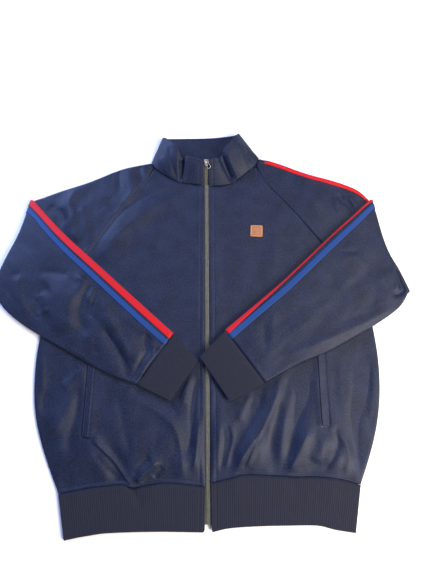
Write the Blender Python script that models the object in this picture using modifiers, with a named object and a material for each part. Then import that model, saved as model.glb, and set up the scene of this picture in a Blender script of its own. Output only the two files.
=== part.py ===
"""A zip-front track jacket laid flat on its back, with both sleeves folded in over the front.

The cloth is cut and sewn as on the real garment: a back, two fronts, two raglan sleeves with
sewn-on tapes, a stand collar, ribbed cuffs and a ribbed hem band, pocket welts, a zip and a
leather patch. Sizes are in millimetres from the foot of the zip: x towards the wearer's left,
y towards the collar, z up from the surface that the jacket lies on. Each mesh is written in
metres about the middle of the jacket's outline.
"""

import math

import bmesh
import bpy
from mathutils import Matrix, Vector
from mathutils.bvhtree import BVHTree

MM = 0.001

# Reach of the laid-out jacket, which sets the origin at the middle of its underside.
REACH_X = (-404.4, 373.2)
REACH_Y = (-12.0, 739.25)
CENTRE = Vector((sum(REACH_X) / 2, sum(REACH_Y) / 2, 0.0))

# Cloth.
CLOTH = 1.5  # wall of the knit panels
RIB_WALL = 2.0  # doubled rib under its raised wales
RIB_RELIEF = 0.7
HEM_PITCH = 3.4  # one rib of the hem band
CUFF_PITCH = 2.6
CUFF_STRIDE = 4  # outer columns for each inner one
HEM_STRIDE = 6
HEM_BACK_MARKS = [0.0, 0.5, 1.5, 3.0, 12.0, 40.0]  # columns in from each end of the hem's back
HEM_BACK_MIDDLE = 12  # widths between those two sets of columns
COLLAR_WALL = 2.4
SEAM = 0.4  # room between two sewn pieces
NECK_SEAM = 0.6  # room between the collar and the pieces it is sewn to
TAPE_LIFT = 0.6  # room under a tape
TAPE_THICK = 0.5
TRIM_LIFT = 0.45  # room under a welt or the patch
WELT_THICK = 1.2
PATCH_THICK = 1.5

# Levels of the layers.
FOLD_RADIUS = 3.0  # outside radius of a laid edge
EDGE_TOP = 2 * FOLD_RADIUS
FRONT_TOP = 3.8  # a front lying on the back
ZIP_TOP = 4.9  # a front lying over its zip tape
FRONT_LEAST = 3.5  # lowest that a crease presses a front
EDGE_FADE = 18.0  # how far in from the edge the cloth comes down

# Sides and seams, as stations (x, y). "right" is the wearer's right.
SIDE = {
    "right": [(-249, 57.2), (-278, 118), (-297, 168), (-307, 215), (-311, 290), (-308, 345), (-292, 418)],
    "left": [(254, 71.2), (274, 118), (291, 168), (302, 228), (304, 290), (301, 345), (288, 418)],
}
FRONT_RAGLAN = {
    "right": [(-292, 418), (-236, 479), (-185, 555), (-139, 618), (-112, 661)],
    "left": [(288, 418), (218, 499), (178, 551), (139, 599), (102, 640), (92, 667)],
}
BACK_RAGLAN = {
    "right": [(-292, 418), (-243, 478), (-195, 545), (-140, 620), (-84, 671)],
    "left": [(288, 418), (236, 480), (185, 545), (125, 622), (66, 676)],
}
FRONT_NECK = {
    "right": [(-10.7, 623.4), (-35, 625.6), (-58, 630), (-71, 634), (-93, 647), (-112, 661)],
    "left": [(-2.3, 622.6), (26, 622), (51, 632), (72, 649), (92, 667)],
}
SHOULDER = {
    "right": [(-119, 673), (-141, 668), (-176, 661), (-209, 645), (-248, 627), (-295, 611), (-348, 588)],
    "left": [(101, 683), (122, 676), (142, 671), (186, 651), (252, 631), (298, 611), (315, 588)],
}
BACK_NECK = [(-84, 671), (-48, 667), (-10, 666), (30, 669), (66, 676)]
UNDERARM = {
    "right": [(-292, 418), (-345, 412), (-399, 404)],
    "left": [(288, 418), (330, 411), (367, 400)],
}
ELBOW = {  # line that each sleeve folds about, from its shoulder edge down
    "right": [(-348, 588), (-361, 521), (-377, 479), (-388, 448), (-399, 404)],
    "left": [(315, 588), (321, 543), (326, 513), (335, 476), (343, 462), (354, 436), (367, 400)],
}
FOREARM_UPPER = {
    "right": [(-348, 588), (-284, 520), (-214, 457), (-137, 388), (-65, 324)],
    "left": [(315, 588), (281, 556), (241, 520), (177, 459), (131, 416), (29, 330)],
}
FOREARM_LOWER = {
    "right": [(-399, 404), (-383, 376), (-337, 339), (-264, 298), (-215, 271), (-179, 253), (-127, 234)],
    "left": [(367, 400), (352, 374), (300, 339), (253, 313), (203, 287), (160, 271), (98, 237)],
}
CUFF_MOUTH = {"right": [(-19.5, 277), (-68, 206)], "left": [(-17, 283), (37, 205)]}
COLLAR_STEPS = 2  # columns for each station of the collar
COLLAR_FOLDS = {"right": 8, "left": 16}  # the stations that lie on the collar's two side folds
COLLAR_TURN = (3.0, 5.4)  # heights of the seam at and beside a side fold
CORNER_LIFT = 0.02  # share of its height that the thick collar stands off where it turns over
COLLAR_LEVELS = (0.0, 0.25, 0.5, 0.75, 1.0)
CREASE_GAP = {"right": 0.35, "left": 1.5}  # half the room inside each elbow fold

HEM_SEAM = {
    "right": [(-5.2, 68), (-65, 74), (-101, 71), (-128, 66.4), (-145, 71), (-192, 67), (-249, 57)],
    "left": [(4.0, 74), (35, 81), (64, 87), (133, 84), (206, 82), (254, 71)],
}
HEM_EDGE = {
    "right": [(-5.6, 0), (-75, 1), (-137, 0), (-184, -3), (-234, -12)],
    "left": [(5.6, 0), (34, 6), (82, 9), (130, 10), (178, 10), (206, 4), (240, -1)],
}
BACK_HEM_EDGE = [(-234, -12), (-120, 4), (0, 12), (120, 13), (185, 10), (240, -1)]
BACK_HEM_SEAM = [(-249, 57), (-120, 66), (0, 70), (120, 74), (254, 71)]

# Columns and rows of the fronts and the back, in from the zip, in from the side and up the side.
FRONT_NEAR_ZIP = [0.0, 10.0, 18.0]
FRONT_NEAR_SIDE = [12.0, 3.0, 0.8, 0.0]
FRONT_MIDDLE = 21
SIDE_ROWS = [0, 10, 22, 36, 52, 70, 92, 116, 146, 184, 236, 332, 341, 348]
BACK_NEAR_SIDE = [0.0, 0.8, 3.0]
BACK_MIDDLE = 5
UPRIGHT = 0.8  # height of the upright strip that ends a turned edge
LAST_STRIP = 0.4  # width of the same strip along a raglan seam
OPEN_AT_UNDERARM = 0.8  # how far each side of the seam spreads on the row before the underarm

# Creases of the laid cloth: way of the crest or trough, rise, half width.
BODY_FOLDS = [
    {"way": [(-93, 626), (-213, 469)], "rise": 4.0, "half": 24},
    {"way": [(-252, 215), (-272, 150)], "rise": 5.0, "half": 11},
    {"way": [(-78, 112), (-126, 80)], "rise": 5.5, "half": 10},
    {"way": [(-174, 130), (-134, 86)], "rise": -9.0, "half": 8},
    {"way": [(-200, 130), (-160, 78)], "rise": 4.0, "half": 11},
    {"way": [(-35, 236), (-46, 190)], "rise": 4.5, "half": 8},
    {"way": [(-27, 210), (-41, 110)], "rise": -4.5, "half": 8},
    {"way": [(-19, 140), (-34, 96)], "rise": 4.0, "half": 7},
    {"way": [(-54, 116), (-38, 74)], "rise": 5.0, "half": 8},
    {"way": [(132, 256), (96, 167), (70, 140), (36, 84)], "rise": 9.0, "half": 10},
    {"way": [(88, 232), (66, 176), (32, 88)], "rise": -6.0, "half": 8},
    {"way": [(117, 210), (108, 131), (103, 90)], "rise": -6.0, "half": 9},
    {"way": [(163, 250), (149, 188), (132, 90)], "rise": -6.0, "half": 9},
    {"way": [(180, 175), (138, 92)], "rise": 6.0, "half": 10},
    {"way": [(212, 128), (196, 100)], "rise": 6.0, "half": 16},
    {"way": [(220, 142), (188, 94)], "rise": -5.0, "half": 9},
    {"way": [(275, 285), (256, 190), (248, 100)], "rise": -5.0, "half": 13},
    {"way": [(27, 180), (15, 130)], "rise": 4.0, "half": 7},
    {"way": [(34, 170), (28, 100)], "rise": -4.0, "half": 6},
    {"way": [(-173, 664), (-160, 610)], "rise": 4.5, "half": 11},
    {"way": [(-252, 622), (-279, 583), (-263, 539), (-240, 496)], "rise": 6.0, "half": 10},
    {"way": [(-258, 575), (-232, 520)], "rise": 4.0, "half": 9},
    {"way": [(-291, 592), (-300, 540)], "rise": -5.0, "half": 10},
    {"way": [(176, 648), (214, 570)], "rise": 4.5, "half": 13},
    {"way": [(220, 630), (244, 585)], "rise": -4.5, "half": 10},
    {"way": [(272, 608), (262, 560)], "rise": 4.5, "half": 12},
]
FOREARM_FOLDS = {
    "right": [
        {"way": [(-374, 514), (-366, 426)], "rise": 3.0, "half": 11},
        {"way": [(-232, 438), (-275, 402), (-287, 383), (-262, 330)], "rise": 6.5, "half": 11},
        {"way": [(-252, 420), (-222, 378)], "rise": -4.0, "half": 9},
        {"way": [(-222, 404), (-172, 332)], "rise": 6.0, "half": 10},
        {"way": [(-190, 326), (-139, 243)], "rise": -6.0, "half": 8},
        {"way": [(-118, 322), (-104, 275), (-128, 246)], "rise": -6.0, "half": 8},
        {"way": [(-202, 320), (-154, 254)], "rise": 5.0, "half": 8},
        {"way": [(-150, 330), (-118, 262)], "rise": 5.0, "half": 9},
    ],
    "left": [
        {"way": [(244, 484), (276, 469), (292, 450)], "rise": 3.5, "half": 13},
        {"way": [(361, 466), (348, 440), (360, 404)], "rise": -5.0, "half": 10},
        {"way": [(338, 436), (330, 400)], "rise": 4.0, "half": 12},
        {"way": [(330, 378), (250, 330), (150, 285)], "rise": 3.5, "half": 18},
        {"way": [(72, 338), (88, 262)], "rise": 3.5, "half": 8},
        {"way": [(58, 334), (74, 280)], "rise": -3.5, "half": 7},
        {"way": [(112, 330), (104, 268)], "rise": 3.0, "half": 9},
    ],
}
BLOUSE = {"rise": 6.5, "y": 128, "half": 62}  # cloth that spills over the hem band
FOREARM_PUFF = 2.5
SLEEVE_PUFF = 3.0
BAND_FOLDS = [  # creases of the body that run on into the hem band
    {"way": [(-138, 92), (-108, 40)], "rise": -1.5, "half": 8},
    {"way": [(-106, 88), (-84, 44)], "rise": 1.0, "half": 12},
    {"way": [(40, 96), (52, 40)], "rise": 1.0, "half": 14},
    {"way": [(140, 100), (150, 44)], "rise": -0.8, "half": 12},
]
WELTS = {  # x of the middle, lower end, upper end
    "right": {"x": -210.0, "foot": 147.0, "head": 317.0},
    "left": {"x": 201.0, "foot": 166.0, "head": 336.0},
}
WELT_WIDE = 13.0
PATCH = {"x": 91.0, "y": 525.5, "wide": 24.0, "turn": -3.0}

# Tapes along each sleeve, as distances round from its shoulder edge: + is on the sleeve's back.
TAPES = {
    "right": {"red": (0.0, 13.0), "blue": (18.5, 29.5)},
    "left": {"red": (-9.0, 4.0), "blue": (9.5, 20.5)},
}
SLEEVE_STEPS = {  # columns in from a sleeve's shoulder edge, ending where it leaves the neck
    "right": {"front": [0.8, 3.0, 14.0], "back": [0.8, 3.0, 8.0, 13.0, 18.5, 29.5, 35.0]},
    "left": {"front": [0.8, 3.0, 9.0, 18.4], "back": [0.8, 4.0, 9.5, 20.5, 35.7]},
}
UNDERARM_STEPS = [0.8, 3.0, 12.0]
SLEEVE_MIDDLE = {"front": 6, "back": 7}  # widths between those two sets of columns
UPPER_RINGS = 8
FOREARM_RINGS = 13

# Zip.
ZIP_FOOT_Y = 11.0
ZIP_LEAN = -7.0 / 670.0  # the closed zip drifts this much in x for each mm up
ZIP_HALF_GAP = 4.2  # from the middle of the zip to each front's edge
ZIP_LOW = 2.3
TAPE_HALF = 14.0
TAPE_HALF_TOP = 11.0  # the same inside the collar
ZIP_ROOM = 0.7  # room between the zip tape and the inside of the collar
COIL_HALF = 3.6
ZIP_TAPE_THICK = 0.8
COIL_RISE = 1.3  # coil above its tape
COLLAR_FOOT = 5.6  # top of the collar where it crosses the zip
SLIDER = {"long": 12.0, "wide": 8.5, "plate": 1.2, "lift": 0.4, "at": 0.86, "bevel": 0.4}
POST = {"long": 2.2, "wide": 2.6, "in": 1.4}  # post between the slider's plates, near its top end
LOWER_PLATE = {"thick": 1.0, "narrower": 0.5, "shorter": 1.0, "room": 0.4}
SUNK = 0.3  # how far one piece of the slider is let into another
BRIDGE = {"long": 6.0, "wide": 2.0, "leg": 1.0, "high": 3.35, "bar": 0.9}
PULL = {"half": 3.0, "far_half": 3.5, "long": 12.5, "wire": 0.7, "pivot": 1.2, "yaw": 30.0, "pitch": 5.0}
PULL_BEND = 0.86  # share of the pull's length at which its far corners are cut off

# Collar, round from the wearer's right of the zip: seam x, y, then top edge x, y, z, and how far
# the cloth bows out between the two.
COLLAR = [
    {"seam": (-10.7, 623.4), "edge": (-12.4, 667.5, 29), "bow": 1.5},
    {"seam": (-32, 626), "edge": (-32, 671, 29), "bow": 2.0},
    {"seam": (-50, 628.5), "edge": (-45, 677, 27), "bow": 1.0},
    {"seam": (-57, 630), "edge": (-54, 675, 19), "bow": -3.0},
    {"seam": (-64, 632), "edge": (-61, 686, 29), "bow": 1.5},
    {"seam": (-78, 638), "edge": (-71, 701, 31), "bow": 6.0},
    {"seam": (-97, 650), "edge": (-83, 715, 24), "bow": 7.0},
    {"seam": (-112, 662), "edge": (-93, 726, 14), "bow": 4.0},
    {"seam": (-119, 673), "edge": (-98, 730, 6), "bow": 0.0},
    {"seam": (-110, 676), "edge": (-90, 730, 0), "bow": 0.0},
    {"seam": (-84, 671.6), "edge": (-70, 730, 0), "bow": 0.0},
    {"seam": (-48, 667.6), "edge": (-44, 730.5, 0), "bow": 0.0},
    {"seam": (-10, 666.6), "edge": (-12, 731, 0), "bow": 0.0},
    {"seam": (30, 669.6), "edge": (18, 733, 0), "bow": 0.0},
    {"seam": (66, 676.6), "edge": (38, 736, 0), "bow": 0.0},
    {"seam": (92, 685), "edge": (52, 738, 1.5), "bow": 0.0},
    {"seam": (101, 683), "edge": (60, 739, 10), "bow": 0.0},
    {"seam": (93, 667.5), "edge": (55, 729, 21), "bow": 5.0},
    {"seam": (82, 657), "edge": (47, 715, 29), "bow": 7.0},
    {"seam": (66, 643), "edge": (36, 701, 32), "bow": 6.0},
    {"seam": (54, 634), "edge": (27, 688, 29), "bow": 1.5},
    {"seam": (47, 630), "edge": (22, 674, 21), "bow": -3.0},
    {"seam": (38, 626), "edge": (15, 672, 28), "bow": 0.5},
    {"seam": (20, 622.4), "edge": (8, 670, 29), "bow": 2.0},
    {"seam": (-2.3, 622.6), "edge": (-2.8, 667.5, 29), "bow": 1.5},
]


# ---------------------------------------------------------------- lines and fields


def smooth(stations, steps=8):
    """Points of a smooth line through the stations."""
    ends = [stations[0]] + list(stations) + [stations[-1]]
    points = []
    for a, b, c, d in zip(ends, ends[1:], ends[2:], ends[3:]):
        a, b, c, d = (Vector(p) for p in (a, b, c, d))
        for step in range(steps):
            t = step / steps
            cubic = (3 * b - 3 * c + d - a) * t**3 + (2 * a - 5 * b + 4 * c - d) * t**2
            points.append((cubic + (c - a) * t + 2 * b) / 2)
    points.append(Vector(stations[-1]))
    return points


class Line:
    """A chain of points that is read by its share of length, from 0 to 1."""

    def __init__(self, points):
        self.points = []
        for point in (Vector(p) for p in points):
            if not self.points or (point - self.points[-1]).length > 1e-6:
                self.points.append(point)
        self.marks = [0.0]
        for a, b in zip(self.points, self.points[1:]):
            self.marks.append(self.marks[-1] + (b - a).length)
        self.length = self.marks[-1]

    def at(self, share):
        reach = min(max(share, 0.0), 1.0) * self.length
        for i in range(1, len(self.marks)):
            if reach <= self.marks[i] or i == len(self.marks) - 1:
                part = (reach - self.marks[i - 1]) / (self.marks[i] - self.marks[i - 1])
                return self.points[i - 1].lerp(self.points[i], part)

    def distance(self, spot):
        best = math.inf
        for a, b in zip(self.points, self.points[1:]):
            along = b - a
            t = min(max((spot - a).dot(along) / along.length_squared, 0.0), 1.0)
            best = min(best, (spot - a - along * t).length)
        return best

    def share_of(self, spot):
        best, found = math.inf, 0.0
        for i, (a, b) in enumerate(zip(self.points, self.points[1:])):
            along = b - a
            t = min(max((spot - a).dot(along) / along.length_squared, 0.0), 1.0)
            gap = (spot - a - along * t).length
            if gap < best:
                best = gap
                found = (self.marks[i] + t * along.length) / self.length
        return found

    def moved(self, room):
        """The line shifted sideways, to its left for a positive room."""
        shifted = []
        last = len(self.points) - 1
        for i, point in enumerate(self.points):
            along = self.points[min(i + 1, last)] - self.points[max(i - 1, 0)]
            shifted.append(point + Vector((-along.y, along.x)).normalized() * room)
        return Line(shifted)


def seam_line(stations, knots):
    """A seam with few knots, which every piece along it follows exactly."""
    curve = Line(smooth(stations))
    return Line([curve.at(i / (knots - 1)) for i in range(knots)])


def raglan_seam(stations, face):
    """A raglan seam from the underarm to the neck, with a knot at each of the sleeve's columns."""
    curve = Line(smooth(stations))
    first = UNDERARM_STEPS[-1]
    steps = SLEEVE_MIDDLE[face]
    reaches = [0.0] + [first + (curve.length - first) * k / steps for k in range(steps + 1)]
    return Line([curve.at(reach / curve.length) for reach in reaches])


def front_columns(width, upright):
    """Shares across a front from the zip edge: close together at the zip and at the side."""
    free = width - FRONT_NEAR_ZIP[-1] - FRONT_NEAR_SIDE[0]
    middle = [FRONT_NEAR_ZIP[-1] + free * i / FRONT_MIDDLE for i in range(1, FRONT_MIDDLE)]
    near_side = FRONT_NEAR_SIDE[:-1] + [0.0 if upright else LAST_STRIP, 0.0]
    return [d / width for d in FRONT_NEAR_ZIP + middle] + [1 - d / width for d in near_side]


def waist_seam(side):
    """The seam between a front and the hem band, with a knot at each of the front's columns."""
    curve = Line(smooth(HEM_SEAM[side]))
    width = (Vector(SIDE[side][0]) - curve.at(0)).length
    return Line([curve.at(share) for share in front_columns(width, True)])


SIGN = {"right": -1, "left": 1}
SIDES = ("right", "left")
HALF_GAP = SEAM / 2
side_line = {s: Line(smooth(SIDE[s])) for s in SIDES}
front_raglan = {s: raglan_seam(FRONT_RAGLAN[s], "front") for s in SIDES}
back_raglan = {s: raglan_seam(BACK_RAGLAN[s], "back") for s in SIDES}
front_neck = {s: seam_line(FRONT_NECK[s], 9) for s in SIDES}
shoulder = {s: Line(smooth(SHOULDER[s])) for s in SIDES}
underarm = {s: Line(smooth(UNDERARM[s])) for s in SIDES}
elbow = {s: Line(smooth(ELBOW[s])) for s in SIDES}
forearm_upper = {s: Line(smooth(FOREARM_UPPER[s])) for s in SIDES}
forearm_lower = {s: Line(smooth(FOREARM_LOWER[s])) for s in SIDES}
hem_seam = {s: waist_seam(s) for s in SIDES}
hem_edge = {s: Line(smooth(HEM_EDGE[s])) for s in SIDES}
back_hem_seam = seam_line(BACK_HEM_SEAM, BACK_MIDDLE + 1)
back_hem_edge = Line(smooth(BACK_HEM_EDGE))
back_neck = seam_line(BACK_NECK, 9)
outline = [line for s in SIDES for line in (side_line[s], shoulder[s], underarm[s])]


def prepared(folds):
    return [dict(fold, line=Line(smooth(fold["way"], 4))) for fold in folds]


body_folds = prepared(BODY_FOLDS)
band_folds = prepared(BAND_FOLDS)
forearm_folds = {s: prepared(FOREARM_FOLDS[s]) for s in SIDES}


def ease(share):
    share = min(max(share, 0.0), 1.0)
    return share * share * (3 - 2 * share)


def round_off(distance, radius=FOLD_RADIUS):
    """Share of the full rise at this distance in from a rounded edge."""
    if distance >= radius:
        return 1.0
    return math.sqrt(max(1 - (1 - distance / radius) ** 2, 0.0))


def fold_rise(folds, spot):
    rise = 0.0
    for fold in folds:
        gap = fold["line"].distance(spot)
        if gap < 3 * fold["half"]:
            share = fold["line"].share_of(spot)
            fade = ease(4.5 * min(share, 1 - share) + 0.15)
            rise += fold["rise"] * fade * math.exp(-((gap / fold["half"]) ** 2))
    return rise


def forearm_ring(side):
    ring = forearm_upper[side].points + [Vector(p) for p in CUFF_MOUTH[side]]
    ring += list(reversed(forearm_lower[side].points)) + list(reversed(elbow[side].points))
    return Line(ring + ring[:1])


forearm_rings = {s: forearm_ring(s) for s in SIDES}


def sleeve_cover(spot):
    """1 under a folded-over forearm or cuff, falling to 0 a little way outside it."""
    cover = 0.0
    for ring in forearm_rings.values():
        inside = False
        for a, b in zip(ring.points, ring.points[1:]):
            if (a.y > spot.y) != (b.y > spot.y):
                if spot.x < a.x + (spot.y - a.y) * (b.x - a.x) / (b.y - a.y):
                    inside = not inside
        cover = max(cover, 1.0 if inside else ease(1 - (ring.distance(spot) - 4) / 22))
    return cover


def zip_x(y):
    return ZIP_LEAN * y


def body_top(x, y):
    """Height of the upper face of the fronts and of the upper sleeves."""
    spot = Vector((x, y))
    edge = min(line.distance(spot) for line in outline)
    from_zip = abs(x - zip_x(y)) - ZIP_HALF_GAP
    level = FRONT_TOP + (ZIP_TOP - FRONT_TOP) * ease(1 - (from_zip - 12) / 16)
    free = 1 - sleeve_cover(spot)
    if free > 0:
        blouse = BLOUSE["rise"] * math.exp(-(((y - BLOUSE["y"]) / BLOUSE["half"]) ** 2))
        blouse *= ease((y - 62) / 34) * ease((edge + 6) / 40) * (0.45 + 0.55 * ease(from_zip / 40))
        puff = SLEEVE_PUFF * ease((edge - 4) / 45) * ease((y - 430) / 40) * ease((abs(x) - 110) / 90)
        rise = blouse + puff + fold_rise(body_folds, spot) * ease((edge + 2) / 12)
        level += rise * free * ease((from_zip + 3) / 10)
    level += (EDGE_TOP - level) * math.exp(-edge / EDGE_FADE) * (1 if level < EDGE_TOP else 0.3)
    for s in SIDES:
        near = elbow[s].distance(spot)
        level += (EDGE_TOP - level) * math.exp(-((near / 16) ** 2))
    if y < 130:
        seam = hem_seam["right" if x < 0 else "left"].distance(spot)
        level += (EDGE_TOP + 0.4 - level) * math.exp(-((seam / 14) ** 2))
    return max(level, FRONT_LEAST), edge


def upper_face(x, y, radius=FOLD_RADIUS):
    """The same, turned down round the laid edges to half the height of the stack."""
    level, edge = body_top(x, y)
    return FOLD_RADIUS + (level - FOLD_RADIUS) * round_off(edge, radius)


def between(south, north, inner, outer, across, along):
    """Point of the patch between four lines: two run across it and two along it."""
    ruled = south.at(across).lerp(north.at(across), along)
    ruled += inner.at(along).lerp(outer.at(along), across)
    corners = south.at(0).lerp(south.at(1), across).lerp(north.at(0).lerp(north.at(1), across), along)
    return ruled - corners


# ---------------------------------------------------------------- making objects

jacket = bpy.data.collections.new("track_jacket")


def finish(name, colour, roughness, metallic=0.0):
    material = bpy.data.materials.new(name)
    material.use_nodes = True
    shader = material.node_tree.nodes["Principled BSDF"]
    shader.inputs["Base Color"].default_value = (*colour, 1.0)
    shader.inputs["Roughness"].default_value = roughness
    shader.inputs["Metallic"].default_value = metallic
    material.diffuse_color = (*colour, 1.0)
    return material


NAVY = (0.022, 0.030, 0.075)
RIB_NAVY = (0.018, 0.021, 0.050)
RED = (0.80, 0.030, 0.045)
BLUE = (0.030, 0.10, 0.42)
ZIP_OLIVE = (0.075, 0.080, 0.065)
STEEL = (0.62, 0.62, 0.62)
LEATHER = (0.45, 0.19, 0.08)


def place(point):
    return (Vector(point) - CENTRE) * MM


def add_object(name, mesh, material):
    mesh.materials.append(material)
    obj = bpy.data.objects.new(name, mesh)
    jacket.objects.link(obj)
    return obj


def cloth(name, rows, thick, material, turned=False, closed=False, even=True):
    """A sheet through rows of points, given its wall on the side away from its face."""
    wide = len(rows[0])
    bm = bmesh.new()
    bmesh.ops.create_grid(bm, x_segments=wide - 1, y_segments=len(rows) - 1, size=1.0)
    bm.verts.ensure_lookup_table()
    for j, row in enumerate(rows):
        for i, point in enumerate(row):
            bm.verts[j * wide + i].co = place(point)
    if closed:
        bmesh.ops.remove_doubles(bm, verts=bm.verts, dist=1e-7)
    if turned:
        bmesh.ops.reverse_faces(bm, faces=bm.faces)
    mesh = bpy.data.meshes.new(name)
    bm.to_mesh(mesh)
    bm.free()
    mesh.shade_smooth()
    obj = add_object(name, mesh, material)
    wall = obj.modifiers.new("wall", "SOLIDIFY")
    wall.thickness = thick * MM
    wall.offset = -1.0
    wall.use_even_offset = even
    wall.use_quality_normals = True
    return obj


def lined_wall(name, outer, inner, stride, material, turned, closed):
    """A wall with a finely ribbed outside and a plain inside that has one column in every stride."""
    bm = bmesh.new()
    out = [[bm.verts.new(place(p)) for p in row] for row in outer]
    ins = [[bm.verts.new(place(p)) for p in row] for row in inner]
    wide, plain = len(out[0]), len(ins[0])
    for j in range(len(out) - 1):
        for i in range(wide if closed else wide - 1):
            k = (i + 1) % wide
            bm.faces.new((out[j][i], out[j][k], out[j + 1][k], out[j + 1][i]))
        for i in range(plain if closed else plain - 1):
            k = (i + 1) % plain
            bm.faces.new((ins[j][i], ins[j + 1][i], ins[j + 1][k], ins[j][k]))
    for j, way in ((0, 1), (len(out) - 1, -1)):
        for i in range(plain if closed else plain - 1):
            k = (i + 1) % plain
            rim = [out[j][(i * stride + n) % wide] for n in range(stride + 1)]
            face = rim[::-1] + [ins[j][i], ins[j][k]]
            bm.faces.new(face[::way])
    if not closed:
        for i, way in ((0, 1), (-1, -1)):
            for j in range(len(out) - 1):
                face = (out[j][i], out[j + 1][i], ins[j + 1][i], ins[j][i])
                bm.faces.new(face[::way])
    if turned:
        bmesh.ops.reverse_faces(bm, faces=bm.faces)
    mesh = bpy.data.meshes.new(name)
    bm.to_mesh(mesh)
    bm.free()
    return add_object(name, mesh, material)


# ---------------------------------------------------------------- fronts and back


def zip_edge(side):
    x = ZIP_HALF_GAP * SIGN[side]
    south, north = hem_seam[side].at(0), front_neck[side].at(0)
    return Line([(zip_x(y) + x, y) for y in (south.y + HALF_GAP, north.y - NECK_SEAM / 2)])


def make_front(side):
    turn = -SIGN[side]
    south = hem_seam[side].moved(HALF_GAP * SIGN[side])
    north = front_neck[side].moved(NECK_SEAM / 2 * turn)
    raglan = front_raglan[side].moved(HALF_GAP * SIGN[side])
    inner, flank = zip_edge(side), side_line[side]
    share_of_side = 0.63
    stations = [(share_of_side * y / SIDE_ROWS[-1], flank.at(y / SIDE_ROWS[-1])) for y in SIDE_ROWS]
    for mark, spot in list(zip(raglan.marks, raglan.points))[1:]:
        stations.append((share_of_side + (1 - share_of_side) * mark / raglan.length, spot))
    rows = []
    for along, outer_spot in stations:
        inner_spot = inner.at(along)
        width = (outer_spot - inner_spot).length
        beside_side = along < share_of_side - 0.001
        spread = OPEN_AT_UNDERARM if along > share_of_side * 0.96 else 0.0
        row = []
        shares = front_columns(width, beside_side)
        for i, across in enumerate(shares):
            ruled = south.at(across).lerp(north.at(across), along)
            ruled += inner_spot.lerp(outer_spot, across)
            low, high = south.at(0).lerp(south.at(1), across), north.at(0).lerp(north.at(1), across)
            spot = ruled - low.lerp(high, along)
            height = upper_face(spot.x, spot.y) if beside_side else body_top(spot.x, spot.y)[0]
            if beside_side and i >= len(shares) - 2:
                height = FOLD_RADIUS + (UPRIGHT if i == len(shares) - 2 else HALF_GAP) + spread
            row.append((spot.x, spot.y, height))
        rows.append(row)
    return cloth(f"front_{side}", rows, CLOTH, navy_cloth, turned=side == "right"), rows


def make_back():
    south = back_hem_seam.moved(HALF_GAP)
    north = back_neck.moved(-NECK_SEAM / 2)
    raglan = {s: back_raglan[s].moved(HALF_GAP * SIGN[s]) for s in SIDES}
    share_of_side = 0.60
    stations = []
    for y in SIDE_ROWS:
        share = y / SIDE_ROWS[-1]
        stations.append((share_of_side * share, {s: side_line[s].at(share) for s in SIDES}))
    for i, mark in enumerate(raglan["right"].marks[1:], start=1):
        along = share_of_side + (1 - share_of_side) * mark / raglan["right"].length
        stations.append((along, {s: raglan[s].points[i] for s in SIDES}))
    rows = []
    for along, ends in stations:
        width = (ends["left"] - ends["right"]).length
        beside_side = along < share_of_side - 0.001
        spread = OPEN_AT_UNDERARM if along > share_of_side * 0.96 else 0.0
        near = [0.0, 0.0 if beside_side else LAST_STRIP] + BACK_NEAR_SIDE[1:]
        free = width - 2 * near[-1]
        shares = [d / width for d in near]
        shares += [(near[-1] + free * k / BACK_MIDDLE) / width for k in range(1, BACK_MIDDLE)]
        shares += [1 - d / width for d in reversed(near)]
        last = len(shares) - 1
        row = []
        for i, across in enumerate(shares):
            ruled = south.at(across).lerp(north.at(across), along)
            ruled += ends["right"].lerp(ends["left"], across)
            low, high = south.at(0).lerp(south.at(1), across), north.at(0).lerp(north.at(1), across)
            spot = ruled - low.lerp(high, along)
            edge = min(across, 1 - across) * width
            height = FOLD_RADIUS * (1 - round_off(edge)) if beside_side else 0.0
            if beside_side and min(i, last - i) < 2:
                height = FOLD_RADIUS - (UPRIGHT if min(i, last - i) == 1 else HALF_GAP) - spread
            row.append((spot.x, spot.y, height))
        rows.append(row)
    return cloth("back_panel", rows, CLOTH, navy_cloth, turned=True)


# ---------------------------------------------------------------- sleeves


def sleeve_shares(side, width):
    """Shares across a sleeve's front face, then across its back face, both from the shoulder edge."""
    faces = {}
    for face in ("front", "back"):
        near = SLEEVE_STEPS[side][face]
        free = width - near[-1] - UNDERARM_STEPS[-1]
        steps = SLEEVE_MIDDLE[face]
        middle = [near[-1] + free * k / steps for k in range(1, steps)]
        faces[face] = [d / width for d in near + middle]
        faces[face] += [1 - d / width for d in reversed(UNDERARM_STEPS)]
    return faces


def ring_of(side, width, front_point, back_point):
    """One closed ring of points: shoulder edge, front face, underarm edge, back face."""
    faces = sleeve_shares(side, width)
    ring = [front_point(0.0)] + [front_point(f) for f in faces["front"]]
    ring += [front_point(1.0)] + [back_point(f) for f in reversed(faces["back"])]
    return ring + [ring[0]]


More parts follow.
